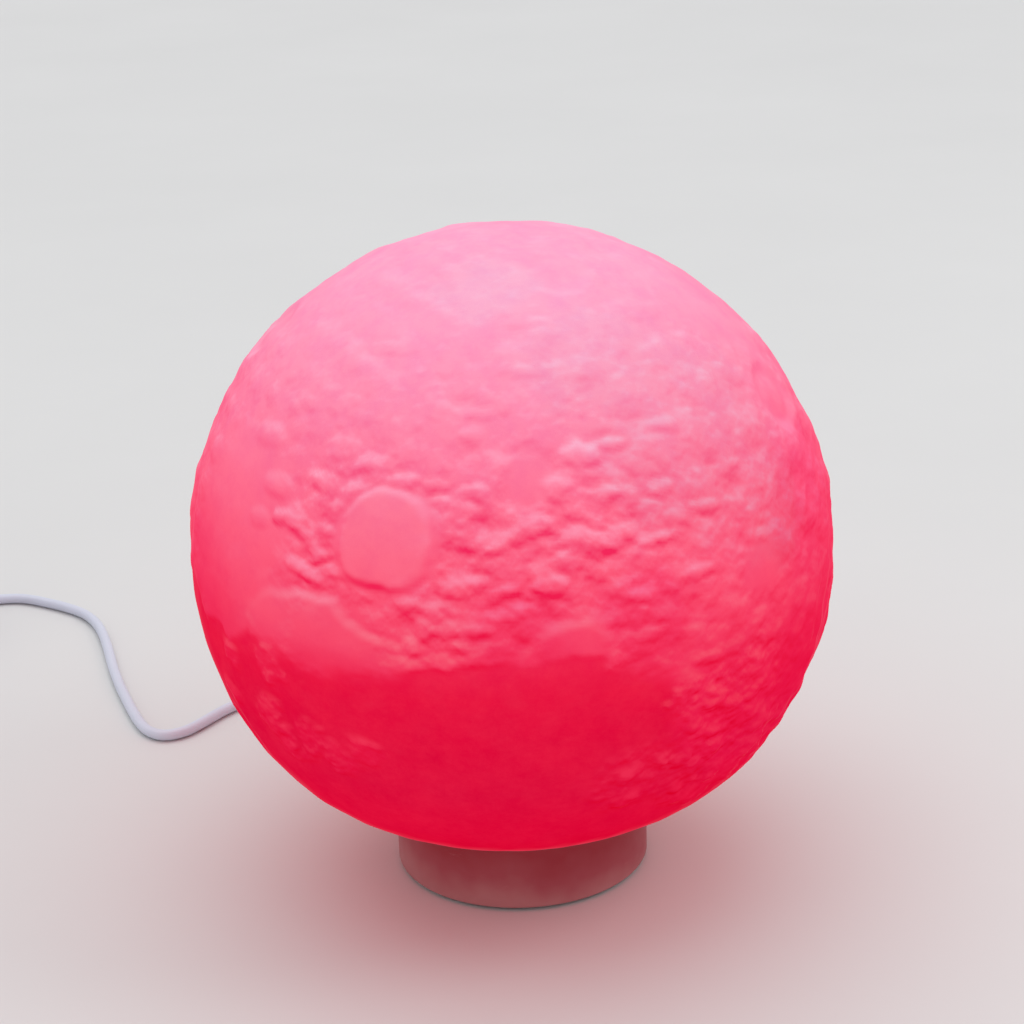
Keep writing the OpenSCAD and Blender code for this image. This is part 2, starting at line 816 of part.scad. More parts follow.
module cord_gland() color("#f0eeec") {
    ribs = 4;
    rib_gap = 1.1;
    seat = sqrt(pow(inside_r, 2) - pow(gland_flange_r, 2)) - base_r;
    difference() {
        translate([0, base_r, exit_z])
            rotate([-90, 0, 0])
                rotate_extrude()
                    polygon([
                        [cord_r, seat - gland_flange_t], [gland_flange_r, seat - gland_flange_t],
                        [gland_flange_r, seat], [gland_groove_r, seat], [gland_groove_r, 0],
                        [gland_d / 2, 0], [gland_d / 2, 2], [gland_tip_d / 2, gland_l], [cord_r, gland_l]
                    ]);
        for (i = [0:ribs - 1])
            for (side = [-1, 1])
                translate([side * (gland_tip_d / 2 + 0.9), base_r + 4 + 2.4 * i, exit_z])
                    cube([1.6, rib_gap, gland_d], center = true);
    }
}

module inner_lead() color("#e6e6ea") {
    lead_back = clamp_y - clamp_w / 2 - 1.5;
    translate([0, lead_back, exit_z])
        rotate([-90, 0, 0])
            cylinder(d = cord_d, h = exit_y - lead_back);
}

module lead_wires() color("#2c2c30") {
    lead_back = clamp_y - clamp_w / 2 - 1.5;
    from = board_back_y - 0.2;
    for (side = [-1, 1])
        translate([side * cord_r / 2, from, exit_z])
            rotate([-90, 0, 0])
                cylinder(d = wire_d, h = lead_back - from);
}

module cord_clamp() color("#e6e3df") {
    under = exit_z - cord_r - clamp_t;
    difference() {
        translate([-clamp_x - clamp_w / 2, clamp_y - clamp_w / 2, under])
            cube([2 * clamp_x + clamp_w, clamp_w, clamp_t]);
        for (side = [-1, 1])
            translate([side * clamp_x, clamp_y, under - 1])
                cylinder(d = small_screw_d + screw_clear, h = clamp_t + 2);
    }
}

module clamp_screws() color("silver") {
    under = exit_z - cord_r - clamp_t;
    for (side = [-1, 1])
        translate([side * clamp_x, clamp_y, under - small_head_h])
            screw_up(2 * small_pilot_r, small_head_d, small_head_h, clamp_t + 3);
}

// ---------- the free cord ----------

function on_table(p) = [p[0], p[1], p[2] + cord_r];

// Angle, radius and height of the coil: in and out again, a layer higher each time.
function coil_point(turn) =
    let(
        layer = min(floor(turn / layer_turns), coil_layers - 1),
        part = turn / layer_turns - layer,
        inward = layer % 2 == 0 ? part : 1 - part,
        r = coil_out_r - (coil_out_r - coil_in_r) * inward,
        near_end = (part < 0.5 ? part : part - 1) * layer_turns,
        first = layer == 0 && part < 0.5,
        final = layer == coil_layers - 1 && part >= 0.5,
        climb = first || final ? 0 : smooth_climb(near_end),
        z = (layer + (part < 0.5 ? (first ? 0 : climb - 1) : (final ? 0 : climb))) * coil_pitch,
        a = 90 + 360 * turn
    )
    [coil_mid[0] + r * cos(a), coil_mid[1] + r * sin(a), z + coil_lift + cord_r];

// Share of the climb done at a turn counted from the reversal: a quarter turn each side.
function smooth_climb(t) = min(max(0.5 + 2 * t, 0), 1);

coil_path = [for (i = [0:coil_turns * coil_steps]) coil_point(i / coil_steps)];
coil_last = coil_path[len(coil_path) - 1];
coil_all = concat(
    [coil_path[0] + [cord_d, 0, 0]], coil_path, [coil_last - [cord_d, 0, 0]]
);

coil_least = min([
    for (i = [0:len(coil_path) - 1])
        for (j = [i + coil_steps / 2:len(coil_path) - 1])
            norm(coil_path[i] - coil_path[j])
]);

cord_path = concat(
    [[0, exit_y, exit_z]],
    refined(concat(
        [[0, exit_y + cord_d, exit_z]],
        [for (p = CORD_ROUTE) on_table(p)],
        [coil_all[0] + [cord_d, 0, 0]]
    )),
    [coil_all[0]]
);

tail_end = [coil_mid[0] + plug_back[0], coil_mid[1] + plug_back[1], grip_h / 2];
tail_path = concat(
    [coil_last - [cord_d, 0, 0]],
    refined(concat(
        [coil_last - [2 * cord_d, 0, 0]],
        [for (p = TAIL_ROUTE) [coil_mid[0] + p[0], coil_mid[1] + p[1], p[2]]],
        [tail_end + [0, cord_d, 0]]
    )),
    [tail_end]
);

function path_length(p) = sum([for (i = [1:len(p) - 1]) norm(p[i] - p[i - 1])]);

module cord() color("#e8e8f0") tube(cord_path, cord_d, cord_sides);

module cord_coil() color("#e8e8f0") {
    echo("least gap between turns", coil_least - cord_d);
    echo("cord length", path_length(cord_path) + path_length(coil_all) + path_length(tail_path));
    tube(coil_all, cord_d, coil_sides);
}

module cord_tail() color("#e8e8f0") tube(tail_path, cord_d, cord_sides);

module coil_tie() color("#d9d9de") {
    room = 0.35;
    w = coil_out_r - coil_in_r + cord_d + 2 * room + 2 * tie_t;
    h = (coil_layers - 1) * coil_pitch + cord_d + 2 * tie_t + 0.3;
    translate([coil_mid[0], coil_mid[1], coil_lift - tie_t - 0.15 + h / 2])
        rotate([0, 0, -60])
            translate([coil_mid_d / 2, tie_w / 2, 0])
                difference() {
                    rounded_bar(w, h, tie_w, 1.2);
                    translate([0, 1, 0])
                        rounded_bar(w - 2 * tie_t, h - 2 * tie_t, tie_w + 2, 0.8);
                }
}

// ---------- the plug ----------

// Local frame: the cord comes in at the origin, and the plug points along -Y.
module at_plug() {
    translate([coil_mid[0] + plug_back[0], coil_mid[1] + plug_back[1], grip_h / 2])
        children();
}

module plug_grip() color("#f4f4f6") {
    grooves = 5;
    at_plug() {
        difference() {
            union() {
                translate([0, -grip_neck_l, 0])
                    rounded_bar(grip_w, grip_h, grip_l, 1.5);
                rotate([90, 0, 0])
                    cylinder(d1 = cord_d + 1.4, d2 = cord_d + 3, h = grip_neck_l + eps);
            }
            for (i = [0:grooves - 1])
                for (side = [-1, 1])
                    translate([side * grip_w / 2, -grip_neck_l - 6 - 2.4 * i, 0])
                        cube([0.8, 1.1, grip_h - 3], center = true);
        }
    }
}

module plug_shell() color("silver") {
    at_plug()
        translate([0, -grip_neck_l - grip_l, 0])
            difference() {
                rounded_bar(shell_w, shell_h, shell_l, 0.5);
                translate([0, -eps, 0])
                    rounded_bar(shell_w - 2 * shell_t, shell_h - 2 * shell_t, shell_l, 0.3);
                for (side = [-1, 1])
                    translate([side * 2.9 - 1.1, -shell_l + 5.5, -shell_h])
                        cube([2.2, 2.2, 2 * shell_h]);
            }
}

module plug_tongue() color("#f7f7f7") {
    tongue_l = shell_l - 1;
    at_plug()
        translate([0, -grip_neck_l - grip_l - tongue_l / 2 - 0.02, -shell_h / 2 + shell_t + 0.95])
            difference() {
                cube([shell_w - 2 * shell_t - tongue_gap, tongue_l, 1.9], center = true);
                for (i = [-1.5:1.5])
                    translate([contact_step * i, -3, 0.85])
                        cube([contact_w + 0.2, tongue_l, 0.4], center = true);
            }
}

module plug_contacts() color("#d9b45a") {
    at_plug()
        for (i = [-1.5:1.5])
            translate([
                contact_step * i - contact_w / 2,
                -grip_neck_l - grip_l - shell_l + 2,
                -shell_h / 2 + shell_t + 1.6
            ])
                cube([contact_w, contact_l, contact_t]);
}

moon_shade();
mouth_ring();
base_housing();
bottom_cover();
cover_screws();
rubber_feet();
led_board();
led_lamps();
led_screws();
led_leads();
diffuser_cap();
control_board();
board_screws();
driver_chip();
memory_chip();
filter_capacitor();
lead_socket();
lead_plug();
switch_body();
switch_plunger();
push_button();
cord_gland();
inner_lead();
lead_wires();
cord_clamp();
clamp_screws();
cord();
cord_coil();
cord_tail();
coil_tie();
plug_grip();
plug_shell();
plug_tongue();
plug_contacts();
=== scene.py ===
"""The moon lamp's looks: camera, cord, cratered shade, finishes, table and light.

Lengths are millimetres and angles are degrees, as in the part's source, unless a line says
otherwise. Materials, the camera and the lights use metres.
Longitude 0 on the moon faces -Y, and longitude grows towards +X.
"""
import json
import math

import bpy
import numpy as np
from mathutils import Matrix, Vector, noise

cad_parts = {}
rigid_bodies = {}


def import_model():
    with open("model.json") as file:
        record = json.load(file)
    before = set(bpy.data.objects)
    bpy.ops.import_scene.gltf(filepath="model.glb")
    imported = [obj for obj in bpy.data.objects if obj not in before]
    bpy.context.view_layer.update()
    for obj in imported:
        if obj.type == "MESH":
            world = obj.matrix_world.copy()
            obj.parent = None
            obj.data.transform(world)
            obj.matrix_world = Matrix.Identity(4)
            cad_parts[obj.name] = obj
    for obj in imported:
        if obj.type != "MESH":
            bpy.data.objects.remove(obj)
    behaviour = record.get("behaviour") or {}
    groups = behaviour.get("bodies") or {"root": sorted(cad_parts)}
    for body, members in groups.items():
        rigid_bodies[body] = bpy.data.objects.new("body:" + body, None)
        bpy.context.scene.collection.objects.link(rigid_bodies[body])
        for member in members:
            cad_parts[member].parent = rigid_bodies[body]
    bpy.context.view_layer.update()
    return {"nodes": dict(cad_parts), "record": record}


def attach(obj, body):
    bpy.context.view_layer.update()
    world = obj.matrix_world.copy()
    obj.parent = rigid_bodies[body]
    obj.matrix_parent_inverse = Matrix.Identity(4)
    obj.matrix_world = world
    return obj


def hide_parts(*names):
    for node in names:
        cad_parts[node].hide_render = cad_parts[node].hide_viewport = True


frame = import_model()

MM = 0.001

# The source's own sizes that the new pieces share.
CORD_D = 3
CORD_EXIT = (0, 44.5, 7)
SEAT_Z = 18.2
MEAN_R = 75
POLE_FLAT = 4.7
UNDERSIDE_CURVE = 1.5
FLANGE_R = 31
MOUTH_R = 27
MOUTH_FLOOR = 3
WALL = 2.8
FLAT_LAT = -39
MOUTH_LAT = -math.degrees(math.acos(FLANGE_R / (MEAN_R - POLE_FLAT)))
GLOBE_Z = SEAT_Z - (MEAN_R - POLE_FLAT) * math.sin(math.radians(MOUTH_LAT))
SHADE_TOP = 156.6


# ---------- small helpers ----------

def deselect_all():
    for thing in bpy.context.scene.objects:
        thing.select_set(False)


def read_points(mesh):
    flat = np.empty(len(mesh.vertices) * 3, np.float32)
    mesh.vertices.foreach_get("co", flat)
    return flat.reshape(-1, 3).astype(float)


def write_points(mesh, points):
    mesh.vertices.foreach_set("co", points.astype(np.float32).ravel())
    mesh.update()


def store(mesh, name, values):
    """Keeps one number for each point, which the material reads by its name."""
    layer = mesh.attributes.new(name, "FLOAT", "POINT")
    layer.data.foreach_set("value", values.astype(np.float32))


def linear(red, green, blue):
    """A screen colour, 0 to 255, as the shader's linear colour."""
    out = []
    for part in (red, green, blue):
        c = part / 255
        out.append(c / 12.92 if c <= 0.04045 else ((c + 0.055) / 1.055) ** 2.4)
    return (*out, 1)


def ease(value, start, end):
    """0 up to the start, 1 from the end on, which may be the lower, and smooth between them."""
    t = np.clip((value - start) / (end - start), 0, 1)
    return t * t * (3 - 2 * t)


def dome(t):
    """1 at t = 0, falling round to 0 at t = 1 and beyond."""
    return np.clip(1 - t * t, 0, None)


# ---------- camera ----------

# Where the photograph was taken from, in metres, and which ways are right and forward there.
CAMERA_SPOT = (0, -0.5256, 0.28563)
CAMERA_RIGHT = (0.99926, -0.01414, -0.03569)
CAMERA_FORWARD = (0.00073, 0.93652, -0.35061)
LENS = 84.375
FILM_WIDTH = 36
NEAREST, FARTHEST = 0.01, 60


def aim_camera():
    """Stands 56 cm from the moon's middle and looks down by 20.5 degrees."""
    data = bpy.data.cameras.new("camera")
    data.lens = LENS
    data.sensor_width = FILM_WIDTH
    data.clip_start = NEAREST
    data.clip_end = FARTHEST
    camera = bpy.data.objects.new("camera", data)
    bpy.context.scene.collection.objects.link(camera)
    forward = Vector(CAMERA_FORWARD).normalized()
    up = Vector(CAMERA_RIGHT).normalized().cross(forward).normalized()
    right = forward.cross(up)
    turn = Matrix((right, up, -forward)).transposed().to_4x4()
    camera.matrix_world = Matrix.Translation(Vector(CAMERA_SPOT)) @ turn
    bpy.context.scene.camera = camera


# ---------- cord ----------

# From the strain relief over the table to the coil: x, y and the cord's height over the table.
CORD_ROUTE = [
    (0, 50, 5.4), (0, 56, 4.6), (-1, 64, 2.6), (-3, 72, 0.8), (-7, 80, 0.2), (-13, 88, 0.1),
    (-22, 95, 0.1), (-33, 100, 0.1), (-45, 102, 0.1), (-57, 101, 0.1), (-68, 96, 0.1),
    (-76, 90, 0.1), (-82, 84, 0.1), (-87, 77, 0.1), (-91.5, 71.5, 0.1), (-97, 69.5, 0.1),
    (-102, 73, 0.1), (-106, 81, 0.1), (-110, 92, 0.1), (-114, 104, 0.1), (-117.5, 116, 0.1),
    (-120.5, 128, 0.1), (-123.5, 139, 0.1), (-127, 149, 0.1), (-132, 157.5, 0.1),
    (-138.5, 163.5, 0.1), (-146, 168.5, 0.1), (-154, 172.5, 0.1), (-162, 172.5, 0.1),
    (-170, 170, 0.2), (-178, 168, 0.6),
]
COIL_START = (-187, 167.5)
COIL_LIFT = 0.8
COIL_TURNS = 11
COIL_LAYERS = 4
COIL_MID_R = 16.5
COIL_PITCH = 3.6
# Points on each turn.
COIL_STEPS = 32
# From the coil to the plug's back: the cord's own middle, measured from the coil's.
TAIL_ROUTE = [
    (-9, 21.7, 12.4), (-15, 20.7, 11.2), (-20.5, 17, 9.2), (-24.5, 11.5, 7), (-27, 5, 5.2),
    (-27.5, -1, 4.2),
]
PLUG_BACK = (-27.5, -6, 4)

LAYER_TURNS = COIL_TURNS / COIL_LAYERS
COIL_OUT_R = COIL_MID_R + LAYER_TURNS * COIL_PITCH / 2
COIL_IN_R = COIL_MID_R - LAYER_TURNS * COIL_PITCH / 2
COIL_MIDDLE = (COIL_START[0], COIL_START[1] - COIL_OUT_R)
# How finely the cord's round section is made.
CORD_SECTION = 3


def refined(line):
    """A smooth curve through given points, with one point added between each pair."""
    out = []
    last = len(line) - 1
    for i in range(last):
        before, a, b, after = (
            Vector(line[k]) for k in (max(i - 1, 0), i, i + 1, min(i + 2, last))
        )
        out += [a, (9 * (a + b) - before - after) / 16]
    return out + [Vector(line[-1])]


def coil_point(turn):
    """In and out again, a layer higher each time, climbing close to each reversal."""
    layer = min(int(turn / LAYER_TURNS), COIL_LAYERS - 1)
    part = turn / LAYER_TURNS - layer
    inward = part if layer % 2 == 0 else 1 - part
    r = COIL_OUT_R - (COIL_OUT_R - COIL_IN_R) * inward
    first = layer == 0 and part < 0.5
    final = layer == COIL_LAYERS - 1 and part >= 0.5
    near_end = (part if part < 0.5 else part - 1) * LAYER_TURNS
    climb = 0 if first or final else min(max(0.5 + 2 * near_end, 0), 1)
    level = layer + (0 if first or final else climb - 1 if part < 0.5 else climb)
    a = math.radians(90 + 360 * turn)
    return Vector((
        COIL_MIDDLE[0] + r * math.cos(a),
        COIL_MIDDLE[1] + r * math.sin(a),
        level * COIL_PITCH + COIL_LIFT + CORD_D / 2,
    ))


def cord_line():
    """The whole cord from the strain relief's root to the back of the plug."""
    lead = Vector(CORD_EXIT)
    on_table = [Vector((x, y, z + CORD_D / 2)) for x, y, z in CORD_ROUTE]
    step = Vector((CORD_D, 0, 0))
    coil = [coil_point(i / COIL_STEPS) for i in range(COIL_TURNS * COIL_STEPS + 1)]
    run = refined(refined([lead, lead + Vector((0, CORD_D, 0)), *on_table, coil[0] + step]))
    middle = Vector((*COIL_MIDDLE, 0))
    tail = [Vector(p) + middle for p in TAIL_ROUTE]
    end = middle + Vector(PLUG_BACK)
    tail = refined(refined([coil[-1] - step, *tail, end + Vector((0, CORD_D, 0)), end]))
    return run + coil + tail


def lay_cord(finish):
    line = cord_line()
    curve = bpy.data.curves.new("power_cord", "CURVE")
    curve.dimensions = "3D"
    curve.bevel_depth = CORD_D / 2 * MM
    curve.bevel_resolution = CORD_SECTION
    curve.use_fill_caps = True
    strand = curve.splines.new("POLY")
    strand.points.add(len(line) - 1)
    for point, place in zip(strand.points, line):
        point.co = (*(place * MM), 1)
    strand.use_smooth = True
    cord = bpy.data.objects.new("power_cord", curve)
    bpy.context.scene.collection.objects.link(cord)
    curve.materials.append(finish)
    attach(cord, "base")
    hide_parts("cord", "cord_coil", "cord_tail")


# ---------- map of the moon ----------
# A place is a longitude and a latitude. Widths, radii and distances on the moon are degrees.

# The far side's plains that are also dark: place, radius.
DARK_PLAINS = [(112, 18, 22), (150, -12, 18), (-125, 8, 20), (-160, 42, 15)]
# All smooth plains: place, radius.
PLAINS = [
    (-57, 19, 17), (-58, 5, 12), (-46, 6, 7), (-31, 3, 8), (9.5, 3.5, 6), (2, -13, 17),
    (24, -12, 10), (-22, -12, 12), (-43, -9, 8), (-20, -33, 16), (3, 31, 4), (46, 9, 5),
    (78, 52, 12), (-95, -28, 12),
] + DARK_PLAINS
# Craters: place, radius, depth, rim height.
CRATERS = [
    (70, 33, 7, 0.6, 0.35), (-92, 46, 7, 0.5, 0.3), (-98, 5, 6, 0.8, 0.5), (88, -12, 8, 1, 0.6),
    (128, 44, 9, 1, 0.6), (172, 14, 8, 1, 0.6), (-172, -24, 7, 0.9, 0.6), (-140, -18, 6, 0.9, 0.6),
    (-110, 36, 7, 1, 0.6), (110, -32, 6, 0.8, 0.5), (75, -38, 5, 0.6, 0.3), (-66, -26, 6, 0.5, 0.3),
    (140, 68, 7, 0.7, 0.4), (-130, 70, 7, 0.6, 0.3), (28, 70, 7, 0.25, 0.15),
]
# The near side's great disc, a flat step.
DISC_PLACE = (-21.7, 20.7)
DISC_R = 8
DISC_RISE = 0.74
# Hummocks seen in the photograph: place, half width, half height, rise.
HUMMOCKS = [
    (-54, 33.3, 4.4, 1.9, 0.4), (-47, 26, 3.4, 1.9, 0.35), (-26.6, 32.8, 3, 1.6, 0.6),
    (-19.5, 30.6, 2.8, 1.3, 0.45), (-13.6, 30, 2.2, 1.2, 0.45), (-12.5, 27.6, 2, 1.1, 0.45),
    (-14, 23, 3.4, 3.6, 0.5), (-36, 28.5, 3.4, 1.6, 0.35), (4.8, 23.6, 4, 1.5, 0.75),
    (-3.6, 20.4, 3.6, 1.3, 0.65), (0.5, 21.6, 2, 1, 0.4), (10.6, 21.2, 2.4, 1.8, 0.6),
    (14.4, 19.6, 4.6, 2, 0.6), (9.6, 17.6, 3.4, 1.6, 0.5), (6, 14.3, 3, 1.7, 0.75),
    (-9.6, 13.9, 3.2, 1.3, 0.5), (-5.6, 15, 2.4, 1.2, 0.4), (-1, 13.6, 2.4, 1.1, 0.45),
    (-17.2, 11.2, 3, 1.2, 0.5), (-12.6, 10.6, 1.8, 1.6, 0.55), (-14.4, 7, 1.6, 2, 0.5),
    (-6, 7.2, 3, 1.2, 0.55), (-2, 9.4, 2.2, 1, 0.45), (2, 10.4, 2, 1, 0.4),
    (-8.6, 4.6, 2.2, 1, 0.45), (-4, 3.6, 2, 0.9, 0.4), (2.6, 2.8, 2.4, 1, 0.45),
    (-17, 4, 1.8, 2, 0.5), (14, 34, 3.4, 1.9, 0.8), (20, 35.2, 3, 1.2, 0.5),
    (6.8, 49.4, 3.2, 1.3, 0.45), (41, 49.6, 3.4, 1.4, 0.4), (6.6, 59.2, 3.6, 1.2, 0.35),
    (15, 47.6, 2.8, 1.2, 0.4), (-4.6, 42, 3.8, 1.1, 0.35), (-44.8, 40.4, 3.4, 1.3, 0.45),
    (-33, 52.8, 3.8, 1.4, 0.45), (26.8, 27, 3, 1.2, 0.5), (32, 12.4, 4, 1.2, 0.45),
    (33, -2.6, 3.6, 1.2, 0.35), (20.5, 10.6, 2.8, 1.2, 0.45), (25, 19, 3, 1.1, 0.45),
    (17.5, 27.6, 2.8, 1.2, 0.45), (22.6, 4, 2.8, 1.4, 0.35), (28.6, -6.4, 3, 2.2, 0.4),
    (44, 27, 3, 1.4, 0.4), (36, 22, 3, 1.3, 0.4), (-31, 14.6, 2.4, 1.1, 0.3),
    (-49, 20, 2.6, 1.6, 0.25), (9, 29.6, 2.6, 1.2, 0.35), (31, 37, 3, 1.3, 0.4),
]
# Ridges: the places that each one passes, half width, rise.
RIDGES = [
    ([(-44.5, 21.4), (-41.5, 21.7), (-38.5, 20.4), (-35.6, 18.2), (-34.4, 16.6)], 1.35, 0.6),
    ([(-39.6, 14.4), (-36.6, 14.2), (-33.6, 13.2)], 1.5, 0.6),
    ([(-50, 3), (-46, 1.4), (-41, 0.6)], 1, 0.2),
]
# Smooth shelves whose far edges catch the light: the places round each one.
SHELVES = [
    [(-44, 9.4), (-39, 9.8), (-35, 10.6), (-31, 10.6), (-28.4, 8.4), (-25.4, 6.2), (-20.8, 5),
     (-17, 4.6), (-16, 1), (-17, -3), (-28, -6), (-39, -7), (-52, -6), (-54, 2)],
    [(1.5, 3.2), (4, 6), (8, 8.6), (12.8, 8), (15.2, 5.6), (16.6, 2), (17, -4), (0, -4), (0, 1)],
]
# Coast of the dark sea on the near side, walked from the left.
COAST = [
    (-86, 4), (-76, 2), (-70, 0), (-66, -1.6), (-60, -1.8), (-57, -3.6), (-53, -1.5), (-50, 0.6),
    (-45, -0.2), (-41, -0.8), (-39, -3.6), (-34, -2.8), (-28, -2.4), (-21, -2.4), (-18.5, -0.6),
    (-15, 0.3), (-9, 0.9), (-3, 1.1), (3, 1.9), (9, 2.3), (13, 1.4), (15.5, -0.2), (20, -1.8),
    (25, -4), (27.5, -8), (27, -13), (30, -18), (33, -24), (42, -31), (56, -37), (72, -43),
    (72, -66), (-92, -66), (-88, -52), (-101, -42), (-90, -32), (-100, -22), (-91, -13), (-98, -4),
    (-91, 3),
]
# Pale broken ground that stands out of the sea: place, radius.
ISLES = [
    (-46, -4, 4.2), (-57, -6.5, 2.6), (-49, -14.5, 3.4), (-46.5, -19.5, 4), (-39, -17, 3.6),
    (-33, -20.5, 3.6), (-27.5, -17.5, 3.2), (-62, -17, 3), (28.5, -6.5, 2.4),
]
# Broken ground low on the right, half sunk in the sea: place, radius.
SHOALS = [(22, -25, 9), (34, -22, 10), (36, -30, 8), (34, -12, 7), (52, -27, 10), (44, -10, 9)]
# Where the small ground stands out most: place, radius.
LIVELY = [(2, 12, 26), (-30, 22, 16), (32, -20, 18), (-42, -17, 14), (-125, 30, 30), (150, 10, 30)]
# Where the print's coat is glossier and a grey-silver highlight is painted into the glow: place,
# radius.
GLOSS_AND_GLINT_SPOTS = [(38, 35, 20), (24, 50, 13), (-6, 68, 9), (52, 18, 10), (-130, 40, 25), (160, 30, 20)]
# Where the glow is painted deeper and redder: near the limbs this stands for the deeper red that
# the limb shows from the front, elsewhere it is patchy tone: place, radius.
BLUSH = [
    (68, 12, 17), (60, -8, 11), (1, 6, 10), (21, 7, 9), (-70, 4, 14), (-140, 0, 25), (130, -5, 20),
]


# ---------- the moon's ground ----------

# Rises and depths in millimetres, or as factors of what they shape.
SWELL_RISE = 0.5
SMALL_RISE, PIT_DEPTH, SMALL_SINK = 0.76, 0.7, 0.15
TINY_RISE, TINY_SINK = 0.75, 0.1
LUMP_RISE, GRIT_RISE = 0.1, 0.025
HUMMOCK_GAIN, CROWN_LOSS = 1.35, 0.6
RIDGE_GAIN = 1.25
SHELF_RISE = 0.75
SEA_DEPTH = 0.4
HIGHEST = 0.9

# Small hummocks come from one seeded row of dice: first all over the moon, then a finer
# cluster at the photograph's right, then tiny ones on the shoals and isles.
# Clusters have a middle and a spread.
HUMMOCK_SEED = 11
HUMMOCK_COUNT = 7900
FINE_AFTER = 4300
FINE_CLUSTER = ((36, 27), 0.38)
TINY_AFTER = 6100
SHOAL_CLUSTER = ((40, -22), 0.3)
ISLE_CLUSTER = ((-46, -13), 0.16)
# Of all but the tiny ones, each sixth is a pit.
PIT_EVERY = 6
# Shaken by noise, a hummock still ends within this many half widths.
HUMMOCK_REACH = 1.6

# In radii: where a crater's floor and its outer slope end, and a patch's full part and rim.
FLOOR_END, SLOPE_END = 0.55, 1.7
PATCH_FULL, PATCH_END = 0.75 / 1.4, 1.25

# Soft noises: cell in millimetres, number of octaves, shift. Each octave is a step finer.
DRIFT_GRAIN = (9, 4, 3.1)
FINE_GRAIN = (2.6, 3, 7.7)
LUMP_GRAIN = (3.6, 2, 1.7)
OCTAVE_LOSS, OCTAVE_STEP = 0.9, 2.1


def heading(lon, lat):
    """The direction of a place on the moon, as a unit vector."""
    lon, lat = math.radians(lon), math.radians(lat)
    return np.array([
        math.sin(lon) * math.cos(lat), -math.cos(lon) * math.cos(lat), math.sin(lat)
    ])


def angle_from(d, lon, lat):
    return np.degrees(np.arccos(np.clip(d @ heading(lon, lat), -1, 1)))


def spots(d, places, warp=0.0):
    """1 in the middle of round patches and 0 away from them."""
    return np.max([
        ease((angle_from(d, a, b) + warp) / r, PATCH_END, PATCH_FULL) for a, b, r in places
    ], axis=0)


def crater(t, depth, rim):
    """Height of a crater at t radii from its middle: flat floor, raised rim, soft outer slope."""
    outside = rim * np.clip((SLOPE_END - t) / (SLOPE_END - 1), 0, 1) ** 2
    inside = (depth + rim) * ease(t, FLOOR_END, 1) - depth
    return np.where(t > 1, outside, inside)


def grain(d, cell, octaves, shift):
    """Soft fractal lumps about one cell wide, from about -1 to 1."""
    offset = Vector((shift, 2 * shift, -shift))
    spread_out = d * (MEAN_R / cell)
    return np.array([
        noise.fractal(Vector(p) + offset, OCTAVE_LOSS, OCTAVE_STEP, octaves)
        for p in spread_out.tolist()
    ])


def waves(d):
    """The long swell, with the same waves as in the part's source."""
    x, y, z = (np.radians(d[:, i]) for i in range(3))
    pairs = [
        ((610 * x + 190 * y, 40), (570 * z - 230 * x, 0), 0.4),
        ((1190 * y + 410 * z, 0), (1130 * x - 350 * y, 80), 0.45),
        ((1910 * z + 700 * y, 130), (1830 * x + 520 * z, 0), 0.45),
        ((2390 * x - 910 * z, 70), (2210 * y + 820 * x, 0), 0.35),
    ]
    return sum(
        h * np.sin(a + math.radians(p)) * np.sin(b + math.radians(q))
        for (a, p), (b, q), h in pairs
    )


def degrees_to(lon, lat, line):
    """Degrees from each spot to the nearest stretch of a line."""
    nearest = np.full(lon.shape, 1e9)
    for (ax, ay), (bx, by) in zip(line, line[1:]):
        run, climb = bx - ax, by - ay
        along = ((lon - ax) * run + (lat - ay) * climb) / (run ** 2 + climb ** 2)
        along = np.clip(along, 0, 1)
        gap = np.hypot(lon - ax - along * run, lat - ay - along * climb)
        nearest = np.minimum(nearest, gap)
    return nearest


def degrees_inside(lon, lat, outline):
    """Degrees inside a closed outline, negative outside it."""
    closed = outline + outline[:1]
    inside = np.zeros(lon.shape, bool)
    for (ax, ay), (bx, by) in zip(closed, closed[1:]):
        if ay != by:
            crossing = ax + (lat - ay) * (bx - ax) / (by - ay)
            inside ^= ((ay > lat) != (by > lat)) & (lon < crossing)
    edge = degrees_to(lon, lat, closed)
    return np.where(inside, edge, -edge)


def ovals_away(d, middle, wide, high, tilt):
    """How far spots lie from a tilted oval's middle, with its edge at 1."""
    east = np.array([-middle[1], middle[0], 0]) / max(math.hypot(middle[0], middle[1]), 1e-6)
    north = np.cross(middle, east)
    x, y = np.degrees(d @ east), np.degrees(d @ north)
    x, y = x * math.cos(tilt) + y * math.sin(tilt), y * math.cos(tilt) - x * math.sin(tilt)
    return np.hypot(x / wide, y / high)


class Survey:
    """Where each mesh point lies, and two soft noises that keep edges from running smooth."""

    def __init__(self, d):
        self.d = d
        self.lat = np.degrees(np.arcsin(np.clip(d[:, 2], -1, 1)))
        self.lon = np.degrees(np.arctan2(d[:, 0], -d[:, 1]))
        self.drift = grain(d, *DRIFT_GRAIN)
        self.fine = grain(d, *FINE_GRAIN)
        self.shaken_lon = self.lon + 1.3 * self.drift + 0.5 * self.fine
        self.shaken_lat = self.lat + 1.2 * self.drift + 0.5 * self.fine


def mean_radius(lat):
    """Radius of the ball without its ground: the underside is drawn in towards the mouth."""
    drawn_in = np.clip((FLAT_LAT - lat) / (FLAT_LAT - MOUTH_LAT), 0, None)
    return MEAN_R - POLE_FLAT * drawn_in ** UNDERSIDE_CURVE


